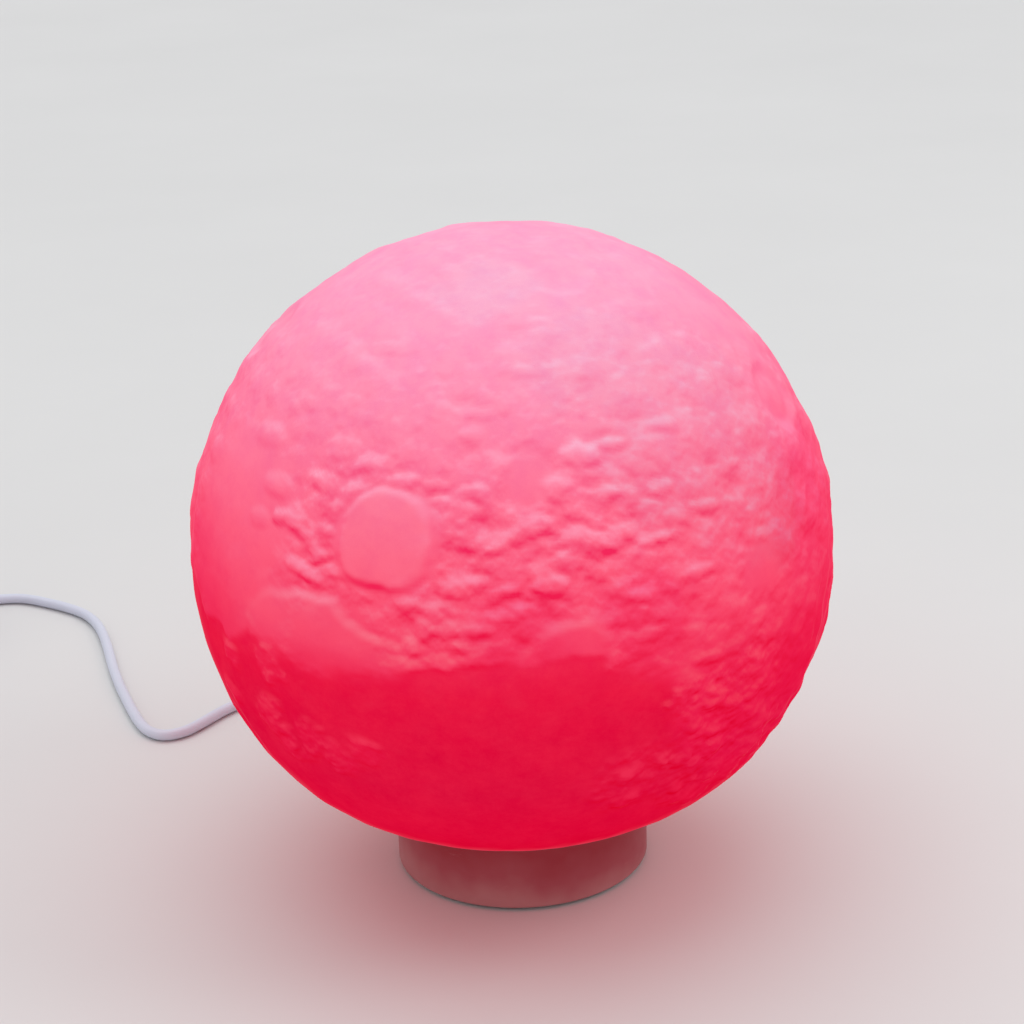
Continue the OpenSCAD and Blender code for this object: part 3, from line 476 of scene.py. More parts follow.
def map_regions(at):
    """The dark sea, the pale isles and the shoals in it, and all rough ground, from 0 to 1."""
    # The coast is crisp in the middle of the photograph and blurs towards its sides.
    edge = 1.5 + 5 * ease(at.lon, 14, 30)
    edge += 2.5 * ease(at.lon, -13, -21) * ease(at.lon, -50, -42)
    edge += 5 * ease(at.lon, -74, -88)
    side = degrees_inside(at.shaken_lon, at.shaken_lat, COAST)
    sea = np.maximum(ease(side, -edge / 2, edge / 2), spots(at.d, DARK_PLAINS, 2.2 * at.drift))
    isles = spots(at.d, ISLES, 2.2 * at.drift + 1.4 * at.fine)
    shoals = spots(at.d, SHOALS, 2.5 * at.drift + at.fine)
    plain = np.maximum(spots(at.d, PLAINS, 1.5 * at.drift), sea)
    return sea, isles, shoals, 1 - plain * (1 - 0.85 * isles) * (1 - 0.9 * shoals)


def draw_hummock(turn, dice):
    """Throws the dice for one small hummock: its middle, half widths, tilt and rise."""
    middle = dice.normal(size=3)
    size, narrow, lie, rise = dice.random(4)
    # All over the moon, most are small and a few large.
    wide = 1.5 + 2.1 * size ** 2.2
    if turn > TINY_AFTER:
        place, scatter = SHOAL_CLUSTER if turn % 3 else ISLE_CLUSTER
        middle = heading(*place) + scatter * dice.normal(size=3)
        wide = 1 + 0.7 * size
    elif turn > FINE_AFTER:
        place, scatter = FINE_CLUSTER
        middle = heading(*place) + scatter * middle
        wide = 1.15 + 1.2 * size
    middle /= np.linalg.norm(middle)
    return middle, wide, wide * (0.62 + 0.36 * narrow), math.radians(70 * (lie - 0.5)), rise


def scatter_hummocks(at):
    """Small hummocks pressed together, the pits among them, and tiny ones by the sea."""
    dice = np.random.default_rng(HUMMOCK_SEED)
    small, pits, tiny = (np.zeros(at.lat.shape) for _ in range(3))
    for turn in range(HUMMOCK_COUNT):
        middle, wide, high, tilt, rise = draw_hummock(turn, dice)
        close = at.d @ middle > math.cos(math.radians(HUMMOCK_REACH * wide))
        if not close.any():
            continue
        form = dome(ovals_away(at.d[close], middle, wide, high, tilt) + 0.22 * at.fine[close])
        if turn > TINY_AFTER:
            tiny[close] = np.maximum(tiny[close], (0.2 + 0.25 * rise) * form)
        elif turn % PIT_EVERY:
            small[close] = np.maximum(small[close], (0.1 + 0.4 * rise) * wide ** 0.7 * form)
        else:
            pits[close] = np.minimum(pits[close], -(0.1 + 0.2 * rise) * wide ** 0.6 * form)
    return small, pits, tiny


def raise_named(at, off_disc):
    """Height of the forms that the photograph shows, and where they glow like a flat top."""
    named = DISC_RISE * ease(off_disc, 1.1, 0.88)
    flat_top = ease(off_disc, 1, 0.9)
    for a, b, wide, high, rise in HUMMOCKS:
        east = (at.lon - a) * np.cos(np.radians(at.lat))
        t = np.hypot(east / wide, (at.lat - b) / high) + 0.25 * at.fine + 0.15 * at.drift
        # Towards the crown they catch more light, so they stand lower.
        gain = HUMMOCK_GAIN - CROWN_LOSS * ease(b, 30, 40)
        named = np.maximum(named, gain * rise * dome(t / 1.15))
    for line, wide, rise in RIDGES:
        away = degrees_to(at.shaken_lon, at.lat + 0.5 * at.drift, line) / wide
        named = np.maximum(named, RIDGE_GAIN * rise * dome(away))
    for outline in SHELVES:
        within = degrees_inside(at.lon + 0.8 * at.drift, at.lat + 0.8 * at.drift, outline)
        # A shelf fades towards the sea, and only the left one has a paler top.
        pale = ease(within, -1.6, 2.4) * ease(at.lat, -3, 4) * ease(at.lon, -8, -14)
        rise = ease(within, -0.8, 1.2) * ease(at.lat, -5, 3) * ease(at.lon, -53, -38)
        flat_top = np.maximum(flat_top, pale)
        named = np.maximum(named, SHELF_RISE * rise)
    return named, flat_top


def moon_ground(at):
    """Height of the ground over the mean surface, and the masks that colour it."""
    sea, isles, shoals, rough = map_regions(at)
    broken = np.maximum(shoals, isles)
    crown = 1 - 0.3 * ease(at.lat, 22, 38) - 0.3 * ease(at.lat, 42, 62)
    ground = SWELL_RISE * waves(at.d) * (0.25 + 0.75 * rough) * (0.15 + 0.85 * crown)

    # No small ground lies on the floors of craters or on the disc.
    free = np.ones(at.lat.shape)
    for a, b, r, depth, rim in CRATERS:
        t = (angle_from(at.d, a, b) + 0.35 * at.drift + 0.12 * at.fine) / r
        ground += crater(t, depth, rim) * (0.9 + 0.2 * at.drift)
        free = np.minimum(free, ease(t, 0.75, 1))
    off_disc = (angle_from(at.d, *DISC_PLACE) + 1.1 * at.drift + 0.3 * at.fine) / DISC_R
    free = np.minimum(free, ease(off_disc, 1.02, 1.22))

    small, pits, tiny = scatter_hummocks(at)
    strength = rough * crown * free * (0.6 + 0.4 * spots(at.d, LIVELY)) * (1 + 0.6 * shoals)
    # The outline that the photograph shows is calmer than the ground inside it.
    calm = ease(abs(at.lon), 58, 70) * ease(abs(at.lon), 118, 104)
    pressed = SMALL_RISE * small + PIT_DEPTH * pits - SMALL_SINK
    ground += pressed * strength * (1 - 0.3 * calm)
    ground += TINY_RISE * (tiny - TINY_SINK) * broken * (1 - 0.8 * calm)
    ground += LUMP_RISE * grain(at.d, *LUMP_GRAIN) * strength + GRIT_RISE * at.fine
    ground *= 1 - 0.8 * ease(off_disc, 1, 0.75)

    # A named form adds less where the ground is already high, and the sea lies lower.
    named, flat_top = raise_named(at, off_disc)
    ground = np.where(named > 0, ground + named * (1 - 0.5 * ease(ground, 0, 0.8)), ground)
    ground -= SEA_DEPTH * sea * (1 - isles) * (1 - 0.6 * shoals)
    masks = {
        "sea": sea * (1 - 0.45 * isles) * (1 - 0.3 * shoals),
        "blush": spots(at.d, BLUSH, 3 * at.drift),
        "rough": strength + 0.6 * broken,
        "gloss_and_glint": spots(at.d, GLOSS_AND_GLINT_SPOTS, 3 * at.drift),
        "shelf": flat_top,
    }
    return ground, masks


def moon_radius(d):
    """Radius of the shade in each direction, and the masks that colour it."""
    at = Survey(d)
    ground, masks = moon_ground(at)
    ground = np.minimum(ground, HIGHEST)
    # At its right, front and top the ground flattens out, to stay inside the solid's box.
    for side in ((1, 0, 0), (0, -1, 0), (0, 0, 1)):
        room = np.clip((1 - d @ np.array(side)) / 0.012, 0, 1)
        ground = np.where(ground > 0, ground * room, ground)
    return mean_radius(at.lat) + ease(at.lat, MOUTH_LAT, MOUTH_LAT + 9) * ground, masks


# ---------- the moon's mesh ----------

# Rounds of cuts across each face of the cube. One round takes 100 cuts at most.
MOON_CUTS = (40, 2)
# How far the mesh is drawn to the side that the photograph shows, in radii.
DRAWN_TO, DRAWN_BY = (2, 12), 0.3
CREASE = 62
# The hollow's wall: its lowest and highest latitude, and its number of rings.
HOLLOW_LATS = (-62.2, 86, 16)
# The floor's edge lies this far inside the lowest ring.
FLOOR_STEP = 0.6
CROWN_STEP = 0.1


def grow_moon(finish):
    """A cube's skin cut fine, blown up to a ball, raised into ground, and opened at the mouth."""
    deselect_all()
    bpy.ops.mesh.primitive_cube_add(size=2)
    moon = bpy.context.object
    moon.name = moon.data.name = "moon_relief_shade"
    bpy.ops.object.mode_set(mode="EDIT")
    bpy.ops.mesh.select_all(action="SELECT")
    for cuts in MOON_CUTS:
        bpy.ops.mesh.subdivide(number_cuts=cuts)
    bpy.ops.object.mode_set(mode="OBJECT")

    even = np.tan(read_points(moon.data) * math.pi / 4)
    d = even / np.linalg.norm(even, axis=1, keepdims=True)
    d += DRAWN_BY * heading(*DRAWN_TO)
    d /= np.linalg.norm(d, axis=1, keepdims=True)
    radius, masks = moon_radius(d)
    points = d * radius[:, None] + np.array([0, 0, GLOBE_Z])
    write_points(moon.data, points * MM)
    for name, values in masks.items():
        store(moon.data, name, values)

    bpy.ops.object.mode_set(mode="EDIT")
    bpy.ops.mesh.select_all(action="SELECT")
    bpy.ops.mesh.bisect(plane_co=(0, 0, SEAT_Z * MM), plane_no=(0, 0, 1), clear_inner=True)
    hollow_out()
    bpy.ops.mesh.select_all(action="SELECT")
    bpy.ops.mesh.normals_make_consistent(inside=False)
    bpy.ops.object.mode_set(mode="OBJECT")
    bpy.ops.object.shade_smooth_by_angle(angle=math.radians(CREASE))

    mark_slopes(moon.data)
    moon.data.materials.append(finish)
    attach(moon, "shade")
    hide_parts("moon_shade")


def hollow_line():
    """Radius and height of the hollow's wall, from its floor to just short of its crown."""
    lats = np.linspace(*HOLLOW_LATS)
    return [
        (r * math.cos(math.radians(lat)), GLOBE_Z + r * math.sin(math.radians(lat)))
        for r, lat in zip(mean_radius(lats) - WALL, lats)
    ]


def hollow_out():
    """Carries the cut edge in to the bore, up through the floor, and round the hollow."""
    bpy.ops.mesh.select_all(action="DESELECT")
    bpy.ops.mesh.select_non_manifold(
        extend=False, use_wire=False, use_multi_face=False,
        use_non_contiguous=False, use_verts=False,
    )
    wall = hollow_line()
    floor_z = SEAT_Z + MOUTH_FLOOR
    at_r, at_z = FLANGE_R, SEAT_Z
    for r, z in [(MOUTH_R, SEAT_Z), (MOUTH_R, floor_z), (wall[0][0] - FLOOR_STEP, floor_z), *wall]:
        bpy.ops.mesh.extrude_region_move()
        bpy.ops.transform.resize(
            value=(r / at_r, r / at_r, 1), center_override=(0, 0, at_z * MM)
        )
        bpy.ops.transform.translate(value=(0, 0, (z - at_z) * MM))
        at_r, at_z = r, z
    bpy.ops.mesh.extrude_region_move()
    bpy.ops.transform.translate(value=(0, 0, CROWN_STEP * MM))
    bpy.ops.mesh.merge(type="CENTER")


def mark_slopes(mesh):
    """Stores how far the ground leans up or down, its height, and where the hollow is."""
    points = read_points(mesh) / MM - np.array([0, 0, GLOBE_Z])
    distance = np.linalg.norm(points, axis=1)
    d = points / distance[:, None]
    lat = np.degrees(np.arcsin(np.clip(d[:, 2], -1, 1)))
    normals = np.array([v.normal[:] for v in mesh.vertices])
    upward = np.array([0, 0, 1]) - d * d[:, 2:3]
    upward /= np.maximum(np.linalg.norm(upward, axis=1, keepdims=True), 1e-6)
    # The drawn-in underside leans as a whole, which doesn't count.
    lean = (normals * upward).sum(1) * ease(lat, -60, -50)
    low = points[:, 2] < SEAT_Z - GLOBE_Z + MOUTH_FLOOR + 0.2
    in_mouth = low & (np.hypot(points[:, 0], points[:, 1]) < FLANGE_R - 0.5)
    inside = (distance < mean_radius(lat) - 0.6 * WALL) | in_mouth
    store(mesh, "lean", np.where(inside, 0, lean))
    store(mesh, "hollow", inside * 1.0)
    store(mesh, "height", np.where(inside, 0, distance - mean_radius(lat)))


# ---------- node helpers ----------

class Recipe:
    """A material or group under construction, with short ways to add and join nodes."""

    def __init__(self, tree):
        self.tree = tree

    def add(self, kind, **settings):
        node = self.tree.nodes.new(kind)
        for key, value in settings.items():
            setattr(node, key, value)
        return node

    def join(self, source, target):
        self.tree.links.new(source, target)

    def feed(self, value, socket):
        """Joins a socket, or sets a plain value."""
        if isinstance(value, bpy.types.NodeSocket):
            self.join(value, socket)
        else:
            socket.default_value = value

    def maths(self, operation, a, b=0.0, clamp=False):
        node = self.add("ShaderNodeMath", operation=operation, use_clamp=clamp)
        self.feed(a, node.inputs[0])
        self.feed(b, node.inputs[1])
        return node.outputs[0]

    def times(self, a, b):
        return self.maths("MULTIPLY", a, b)

    def plus(self, a, b):
        return self.maths("ADD", a, b)

    def less(self, a, b):
        return self.maths("SUBTRACT", a, b)

    def blend(self, share, a, b, how="MIX"):
        node = self.add("ShaderNodeMix", data_type="RGBA", blend_type=how)
        self.feed(share, node.inputs[0])
        self.feed(a, node.inputs[6])
        self.feed(b, node.inputs[7])
        return node.outputs[2]

    def tint(self, colour, factors):
        """A colour with its red, green and blue each times a factor."""
        return self.blend(1.0, colour, (*factors, 1), "MULTIPLY")

    def spread(self, value, low, high, to_low=0.0, to_high=1.0):
        """Carries the range from low to high over to another one, and stops at its ends."""
        node = self.add("ShaderNodeMapRange", clamp=True)
        self.feed(value, node.inputs[0])
        for i, number in enumerate((low, high, to_low, to_high)):
            node.inputs[1 + i].default_value = number
        return node.outputs[0]

    def ramp(self, value, stops):
        """Colours, given as screen colours, along a value."""
        node = self.add("ShaderNodeValToRGB")
        self.feed(value, node.inputs[0])
        rows = node.color_ramp.elements
        places = [(place, linear(*colour)) for place, colour in stops]
        rows[0].position, rows[0].color = places[0]
        rows[1].position, rows[1].color = places[-1]
        for place, colour in places[1:-1]:
            rows.new(place).color = colour
        return node.outputs[0]

    def noise(self, where, scale, detail, rough, stretch=None):
        if stretch:
            mapping = self.add("ShaderNodeMapping")
            mapping.inputs["Scale"].default_value = stretch
            self.join(where, mapping.inputs["Vector"])
            where = mapping.outputs[0]
        node = self.add("ShaderNodeTexNoise")
        self.join(where, node.inputs["Vector"])
        self.feed(scale, node.inputs["Scale"])
        node.inputs["Detail"].default_value = detail
        node.inputs["Roughness"].default_value = rough
        return node.outputs[0]

    def read(self, name):
        """A number that store() kept on the mesh."""
        return self.add("ShaderNodeAttribute", attribute_name=name).outputs["Fac"]

    def place(self):
        return self.add("ShaderNodeTexCoord").outputs["Object"]

    def axes(self, where):
        node = self.add("ShaderNodeSeparateXYZ")
        self.join(where, node.inputs[0])
        return list(node.outputs)

    def bump(self, height, strength, distance):
        node = self.add("ShaderNodeBump")
        node.inputs["Strength"].default_value = strength
        node.inputs["Distance"].default_value = distance
        self.join(height, node.inputs["Height"])
        return node.outputs[0]


# ---------- shared effects ----------

GROUPS = {}


def new_group(name, inputs, outputs):
    """An empty node group: inputs with their usual values, and outputs with their kinds."""
    tree = bpy.data.node_groups.new(name, "ShaderNodeTree")
    for label, default in inputs.items():
        kind = "NodeSocketColor" if isinstance(default, tuple) else "NodeSocketFloat"
        socket = tree.interface.new_socket(label, in_out="INPUT", socket_type=kind)
        socket.default_value = default
    for label, kind in outputs.items():
        tree.interface.new_socket(label, in_out="OUTPUT", socket_type="NodeSocket" + kind)
    GROUPS[name] = tree
    r = Recipe(tree)
    given, out = r.add("NodeGroupInput").outputs, r.add("NodeGroupOutput").inputs
    return r, given, out


def make_mould_skin():
    """Fine skin of a moulded plastic: soft mottle, spark-eroded grain, a few rubbed marks."""
    r, given, out = new_group(
        "mould_skin",
        {
            "Colour": (0.8, 0.8, 0.8, 1), "Rubbed colour": (0.9, 0.9, 0.9, 1), "Roughness": 0.5,
            "Grain scale": 2500.0, "Mottle": 0.06,
        },
        {"Colour": "Color", "Roughness": "Float", "Height": "Float"},
    )
    where = r.place()
    cloud = r.noise(where, 90.0, 4.0, 0.6)
    pits = r.noise(where, given["Grain scale"], 2.0, 0.6)
    scuffs = r.spread(r.noise(where, 140.0, 6.0, 0.75, (1, 1, 4)), 0.62, 0.72)
    uneven = r.less(cloud, 0.5)
    toned = r.add("ShaderNodeVectorMath", operation="SCALE")
    r.join(given["Colour"], toned.inputs[0])
    r.join(r.plus(1.0, r.times(uneven, given["Mottle"])), toned.inputs["Scale"])
    r.join(
        r.blend(r.times(scuffs, 0.25), toned.outputs[0], given["Rubbed colour"]), out["Colour"]
    )
    rough = r.plus(given["Roughness"], r.times(uneven, 0.14))
    r.join(r.maths("SUBTRACT", rough, r.times(scuffs, 0.05), clamp=True), out["Roughness"])
    r.join(r.plus(pits, r.times(cloud, 0.3)), out["Height"])


def make_plated_metal():
    """Plated metal with fine scratches and a dull bloom."""
    r, given, out = new_group(
        "plated_metal",
        {
            "Colour": (0.8, 0.8, 0.8, 1), "Dull colour": (0.4, 0.4, 0.4, 1),
            "Roughness": 0.25, "Scratch scale": 900.0,
        },
        {"Colour": "Color", "Roughness": "Float", "Height": "Float"},
    )
    where = r.place()
    scratches = r.noise(where, given["Scratch scale"], 3.0, 0.7, (8, 1, 1))
    bloom = r.spread(r.noise(where, 260.0, 4.0, 0.6), 0.45, 0.75)
    r.join(r.blend(r.times(bloom, 0.5), given["Colour"], given["Dull colour"]), out["Colour"])
    rough = r.plus(given["Roughness"], r.times(bloom, 0.15))
    r.join(r.maths("ADD", rough, r.times(scratches, 0.12), clamp=True), out["Roughness"])
    r.join(scratches, out["Height"])


def make_board_print():
    """Lacquered circuit board: copper tracks under the mask, and rows of soldered pads."""
    r, given, out = new_group(
        "board_print",
        {
            "Mask colour": (0.02, 0.2, 0.06, 1), "Track colour": (0.04, 0.3, 0.1, 1),
            "Pad colour": (0.7, 0.7, 0.68, 1),
        },
        {"Colour": "Color", "Metal": "Float", "Height": "Float"},
    )
    where = r.place()
    x, y, _ = r.axes(where)
    # Tracks run along Y and jog sideways every 3.2 mm.
    jog = r.times(r.maths("SNAP", y, 0.0032), 330.0)
    lane = r.maths("PINGPONG", r.plus(r.times(x, 700.0), jog), 0.5)
    field = r.spread(r.noise(where, 170.0, 1.0, 0.3), 0.48, 0.52)
    tracks = r.times(r.spread(lane, 0.16, 0.2, 1.0, 0.0), field)
    # Pads stand on a square grid of 2.5 mm.
    squares = []
    for axis in (x, y):
        off = r.less(r.maths("PINGPONG", r.times(axis, 400.0), 0.5), 0.25)
        squares.append(r.times(off, off))
    dots = r.spread(r.maths("SQRT", r.plus(*squares)), 0.1, 0.13, 1.0, 0.0)
    pads = r.times(dots, r.spread(r.noise(where, 120.0, 0.0, 0.3), 0.56, 0.58))
    ground = r.blend(tracks, given["Mask colour"], given["Track colour"])
    r.join(r.blend(pads, ground, given["Pad colour"]), out["Colour"])
    r.join(r.times(pads, 0.9), out["Metal"])
    r.join(r.plus(tracks, r.times(pads, 1.5)), out["Height"])


def make_rubble():
    """Small broken ground, too fine for the mesh: its height, and how it leans up or down."""
    r, given, out = new_group(
        "rubble",
        {"Lump scale": 240.0, "Grit scale": 620.0, "Grit share": 0.4},
        {"Height": "Float", "Lean": "Float"},
    )
    squeeze = r.add("ShaderNodeMapping")
    squeeze.inputs["Scale"].default_value = (1, 1, 1.15)
    r.join(r.place(), squeeze.inputs["Vector"])
    higher = r.add("ShaderNodeVectorMath", operation="ADD")
    r.join(squeeze.outputs[0], higher.inputs[0])
    higher.inputs[1].default_value = (0, 0, 0.0009)
    here, above = (
        r.plus(
            r.noise(spot, given["Lump scale"], 1.0, 0.5),
            r.times(r.noise(spot, given["Grit scale"], 1.0, 0.5), given["Grit share"]),
        )
        for spot in (squeeze.outputs[0], higher.outputs[0])
    )
    r.join(here, out["Height"])
    r.join(r.less(here, above), out["Lean"])


# ---------- finishes ----------

def blank_material(name, **sockets):
    material = bpy.data.materials.new(name)
    material.use_nodes = True
    shader = material.node_tree.nodes["Principled BSDF"].inputs
    for key, value in sockets.items():
        shader[key.replace("_", " ")].default_value = value
    return material, Recipe(material.node_tree), shader


# Where a shared effect's outputs go on the shader. Its height goes there as a bump.
OUTLETS = {"Colour": "Base Color", "Roughness": "Roughness", "Metal": "Metallic"}
SKIN_BUMP = 0.35
SKIN_DEPTH = 0.00002
SOLDER = (206, 208, 204)


def apply_effect(r, shader, effect, values, strength, depth):
    node = r.add("ShaderNodeGroup", node_tree=GROUPS[effect])
    for label, value in values.items():
        r.feed(value, node.inputs[label])
    for outlet in node.outputs:
        if outlet.name in OUTLETS:
            r.join(outlet, shader[OUTLETS[outlet.name]])
    r.join(r.bump(node.outputs["Height"], strength, depth), shader["Normal"])


def plastic(
    name, colour, rubbed=None, rough=0.45, grain_scale=2500.0, mottle=0.06, depth=SKIN_DEPTH
):
    """A moulded plastic, rubbed a little paler unless told otherwise."""
    material, r, shader = blank_material(name)
    values = {
        "Colour": linear(*colour),
        "Rubbed colour": linear(*(rubbed or [min(255, c + 16) for c in colour])),
        "Roughness": rough,
        "Grain scale": grain_scale,
        "Mottle": mottle,
    }
    apply_effect(r, shader, "mould_skin", values, SKIN_BUMP, depth)
    return material


def painted_glow_plastic(name, foot, waist, shoulder):
    """The base's white moulding with the shade's red glow painted on: dusky rose at its foot, deep
    red just under the shade.
    """
    material, r, shader = blank_material(name)
    where = r.place()
    drift = r.times(r.less(r.noise(where, 45.0, 3.0, 0.6), 0.5), 0.02)
    height = r.plus(r.axes(where)[2], drift)
    values = {
        "Colour": r.ramp(
            r.spread(height, 0.001, 0.0155), [(0.0, foot), (0.5, waist), (1.0, shoulder)]
        ),
        "Rubbed colour": linear(*foot),
        "Roughness": 0.42,
        "Mottle": 0.08,
    }
    apply_effect(r, shader, "mould_skin", values, SKIN_BUMP, SKIN_DEPTH)
    return material


def metal(name, colour, dull, rough, scratch_scale=900.0):
    material, r, shader = blank_material(name, Metallic=1.0)
    values = {
        "Colour": linear(*colour),
        "Dull colour": linear(*dull),
        "Roughness": rough,
        "Scratch scale": scratch_scale,
    }
    apply_effect(r, shader, "plated_metal", values, 0.2, 0.00001)
    return material


def board(name, mask, track):
    material, r, shader = blank_material(name, Roughness=0.32)
    values = {
        "Mask colour": linear(*mask),
        "Track colour": linear(*track),
        "Pad colour": linear(*SOLDER),
    }
    apply_effect(r, shader, "board_print", values, 0.4, 0.00004)
    return material


def glowing(name, colour, glow, strength, rough):
    """A frosted plastic lit from inside, unevenly."""
    material, r, shader = blank_material(name, Roughness=rough, Emission_Strength=strength)
    where = r.place()
    cloud = r.noise(where, 300.0, 3.0, 0.6)
    faces = (
        ("Base Color", colour, 0.3, [c * 0.92 for c in colour]),
        ("Emission Color", glow, 0.25, [c * 0.8 for c in glow]),
    )
    for socket, bright, share, dull in faces:
        patches = r.spread(cloud, 0.3, 0.7, 0, share)
        r.join(r.blend(patches, linear(*bright), linear(*dull)), shader[socket])
    r.join(r.bump(r.noise(where, 3000.0, 3.0, 0.6), 0.3, 0.00003), shader["Normal"])
    return material


# The glow's colour on open ground and on the sea, by share of the moon's height. Its paling towards
# the top is painted light from above; the deep red lower down is the glow itself.
LAND_GLOW_AND_TOP_LIGHT = [
    (0.0, (226, 4, 55)), (0.145, (228, 9, 59)), (0.227, (229, 20, 70)), (0.316, (234, 26, 74)),
    (0.409, (240, 42, 85)), (0.503, (247, 72, 107)), (0.596, (251, 92, 125)),
    (0.685, (252, 110, 144)), (0.767, (252, 128, 163)), (0.839, (252, 146, 180)),
    (0.9, (252, 156, 191)), (0.947, (252, 165, 199)), (1.0, (252, 168, 202)),
]
SEA_GLOW_AND_TOP_LIGHT = [
    (0.0, (224, 7, 54)), (0.145, (225, 13, 58)), (0.227, (222, 17, 61)), (0.316, (226, 19, 62)),
    (0.409, (232, 23, 65)), (0.503, (240, 40, 82)), (0.685, (246, 90, 126)), (1.0, (250, 150, 184)),
]
# Factors for red, green and blue.
BLUSH_TINT = (0.97, 0.52, 0.78)
SEA_DARK, SEA_PALE = (0.97, 0.55, 0.93, 1), (1.03, 1.55, 1.1, 1)
SHELF_TINT = (1.0, 1.2, 1.1)
MOTTLE_TINT = (0.88, 0.55, 0.9)
# Tints of the painted highlight, low and high on the moon, and of the painted shade.
LIT_LOW, LIT_HIGH = (1.05, 3.3, 1.35, 1), (0.97, 2.4, 1.95, 1)
SHADOW_TINT = (0.92, 0.14, 0.45)
PAINTED_GLINT_TINT = (0.86, 1.16, 1.1)
GIVEN_OUT = (0.85, 0.78, 0.78)
THROWN_BACK = (0.22, 0.3, 0.26)
PAINTED_LIMB_HIGHLIGHT = (255, 150, 176)
HOLLOW_GLOW = (255, 120, 150)


def flat_glow(r, where, level):
    """The glow before any relief, and the colour of open land alone."""
    land = r.ramp(level, LAND_GLOW_AND_TOP_LIGHT)
    land = r.blend(r.times(r.read("blush"), 0.7), land, r.tint(land, BLUSH_TINT))
    sea = r.ramp(level, SEA_GLOW_AND_TOP_LIGHT)
    stain = r.blend(r.spread(r.noise(where, 70.0, 7.0, 0.85), 0.38, 0.62), SEA_DARK, SEA_PALE)
    stained = r.blend(1.0, sea, stain, "MULTIPLY")
    # High seas, on the far side, are hardly stained.
    sea = r.blend(r.spread(level, 0.34, 0.56, 1.0, 0.15), sea, stained)
    glow = r.blend(r.read("sea"), land, sea)
    glow = r.blend(r.read("shelf"), glow, r.tint(glow, SHELF_TINT))
    cloud = r.spread(r.noise(where, 60.0, 5.0, 0.6), 0.4, 0.7, 0.0, 0.2)
    glow = r.blend(cloud, glow, sea)
    mottle = r.spread(r.noise(where, 130.0, 6.0, 0.7), 0.42, 0.7, 0.0, 0.3)
    return r.blend(mottle, glow, r.tint(glow, MOTTLE_TINT)), land


def ground_lean(r, rubble, level):
    """Each spot's upward lean, for the painted shade: the mesh's, the rubble's, and a share of its
    height.
    """
    rough, gloss_and_glint = r.read("rough"), r.read("gloss_and_glint")
    broken = r.times(rubble.outputs["Lean"], r.spread(rough, 0.05, 1.6, 0.06, 1.25))
    broken = r.times(broken, r.spread(gloss_and_glint, 0.0, 1.0, 1.0, 1.3))
    raised = r.times(r.less(r.read("height"), 0.15), r.spread(rough, 0.0, 0.6, 0.0, 0.13))
    lean = r.plus(broken, r.plus(r.read("lean"), raised))
    # The glow washes the relief out towards the crown.
    return r.times(lean, r.spread(level, 0.6, 0.93, 0.87, 0.34))


def moon_material():
    """A white print lit red from inside, deeper on the seas, with painted light from above making
    it paler to the top.

    Ground that faces up gets a painted highlight and ground that faces down a painted shade, as in
    the photograph.
    """
    material, r, shader = blank_material(
        "moon_print", Roughness=0.55, Emission_Strength=1.0, Specular_IOR_Level=0.0,
        Coat_Roughness=0.42,
    )
    where = r.place()
    level = r.spread(r.axes(where)[2], SEAT_Z * MM, SHADE_TOP * MM)
    glow, land = flat_glow(r, where, level)
    rubble = r.add("ShaderNodeGroup", node_tree=GROUPS["rubble"])
    lean = ground_lean(r, rubble, level)

    # Painted highlight and shade: ground that faces up is tinted paler, ground that faces down
    # deeper, as if lit from above.
    painted_lift_tint = r.blend(r.spread(level, 0.36, 0.58), LIT_LOW, LIT_HIGH)
    pale = r.blend(1.0, land, painted_lift_tint, "MULTIPLY")
    glow = r.blend(r.spread(lean, 0.0, 0.45, 0.0, 0.84), glow, pale)
    glow = r.blend(r.spread(lean, -0.02, -0.4, 0.0, 0.95), glow, r.tint(land, SHADOW_TINT))
    # A painted grey-silver highlight on up-facing ground in these spots, and a glossier coat there.
    gloss_and_glint = r.read("gloss_and_glint")
    painted_glint = r.times(gloss_and_glint, r.spread(lean, -0.1, 0.3, 0.25, 0.9))
    glow = r.blend(painted_glint, glow, r.tint(glow, PAINTED_GLINT_TINT))
    # A painted pale highlight along the outline, where the surface turns away from view.
    limb = r.add("ShaderNodeLayerWeight")
    limb.inputs["Blend"].default_value = 0.12
    edge = r.spread(limb.outputs["Facing"], 0.35, 1.0, 0.0, 0.45)
    glow = r.blend(edge, glow, linear(*PAINTED_LIMB_HIGHLIGHT))
    glow = r.blend(r.read("hollow"), glow, linear(*HOLLOW_GLOW))
    r.join(r.tint(glow, GIVEN_OUT), shader["Emission Color"])
    # The print is white; its base colour here is the painted glow, with its painted highlight and
    # shade, dimmed.
    r.join(r.tint(glow, THROWN_BACK), shader["Base Color"])
    r.join(r.times(gloss_and_glint, 0.35), shader["Coat Weight"])

    pores = r.times(r.noise(where, 1300.0, 5.0, 0.65), 0.35)
    crumbs = r.times(rubble.outputs["Height"], r.spread(r.read("rough"), 0.0, 1.0, 0.15, 1.6))
    r.join(r.bump(r.plus(pores, crumbs), 0.6, 0.0006), shader["Normal"])
    return material


def table_material():
    material, r, shader = blank_material("pale_table", Roughness=0.62)
    cloud = r.spread(r.noise(r.place(), 6.0, 5.0, 0.6), 0.3, 0.7)
    r.join(r.blend(cloud, (0.68, 0.676, 0.67, 1), (0.7, 0.696, 0.69, 1)), shader["Base Color"])
    return material


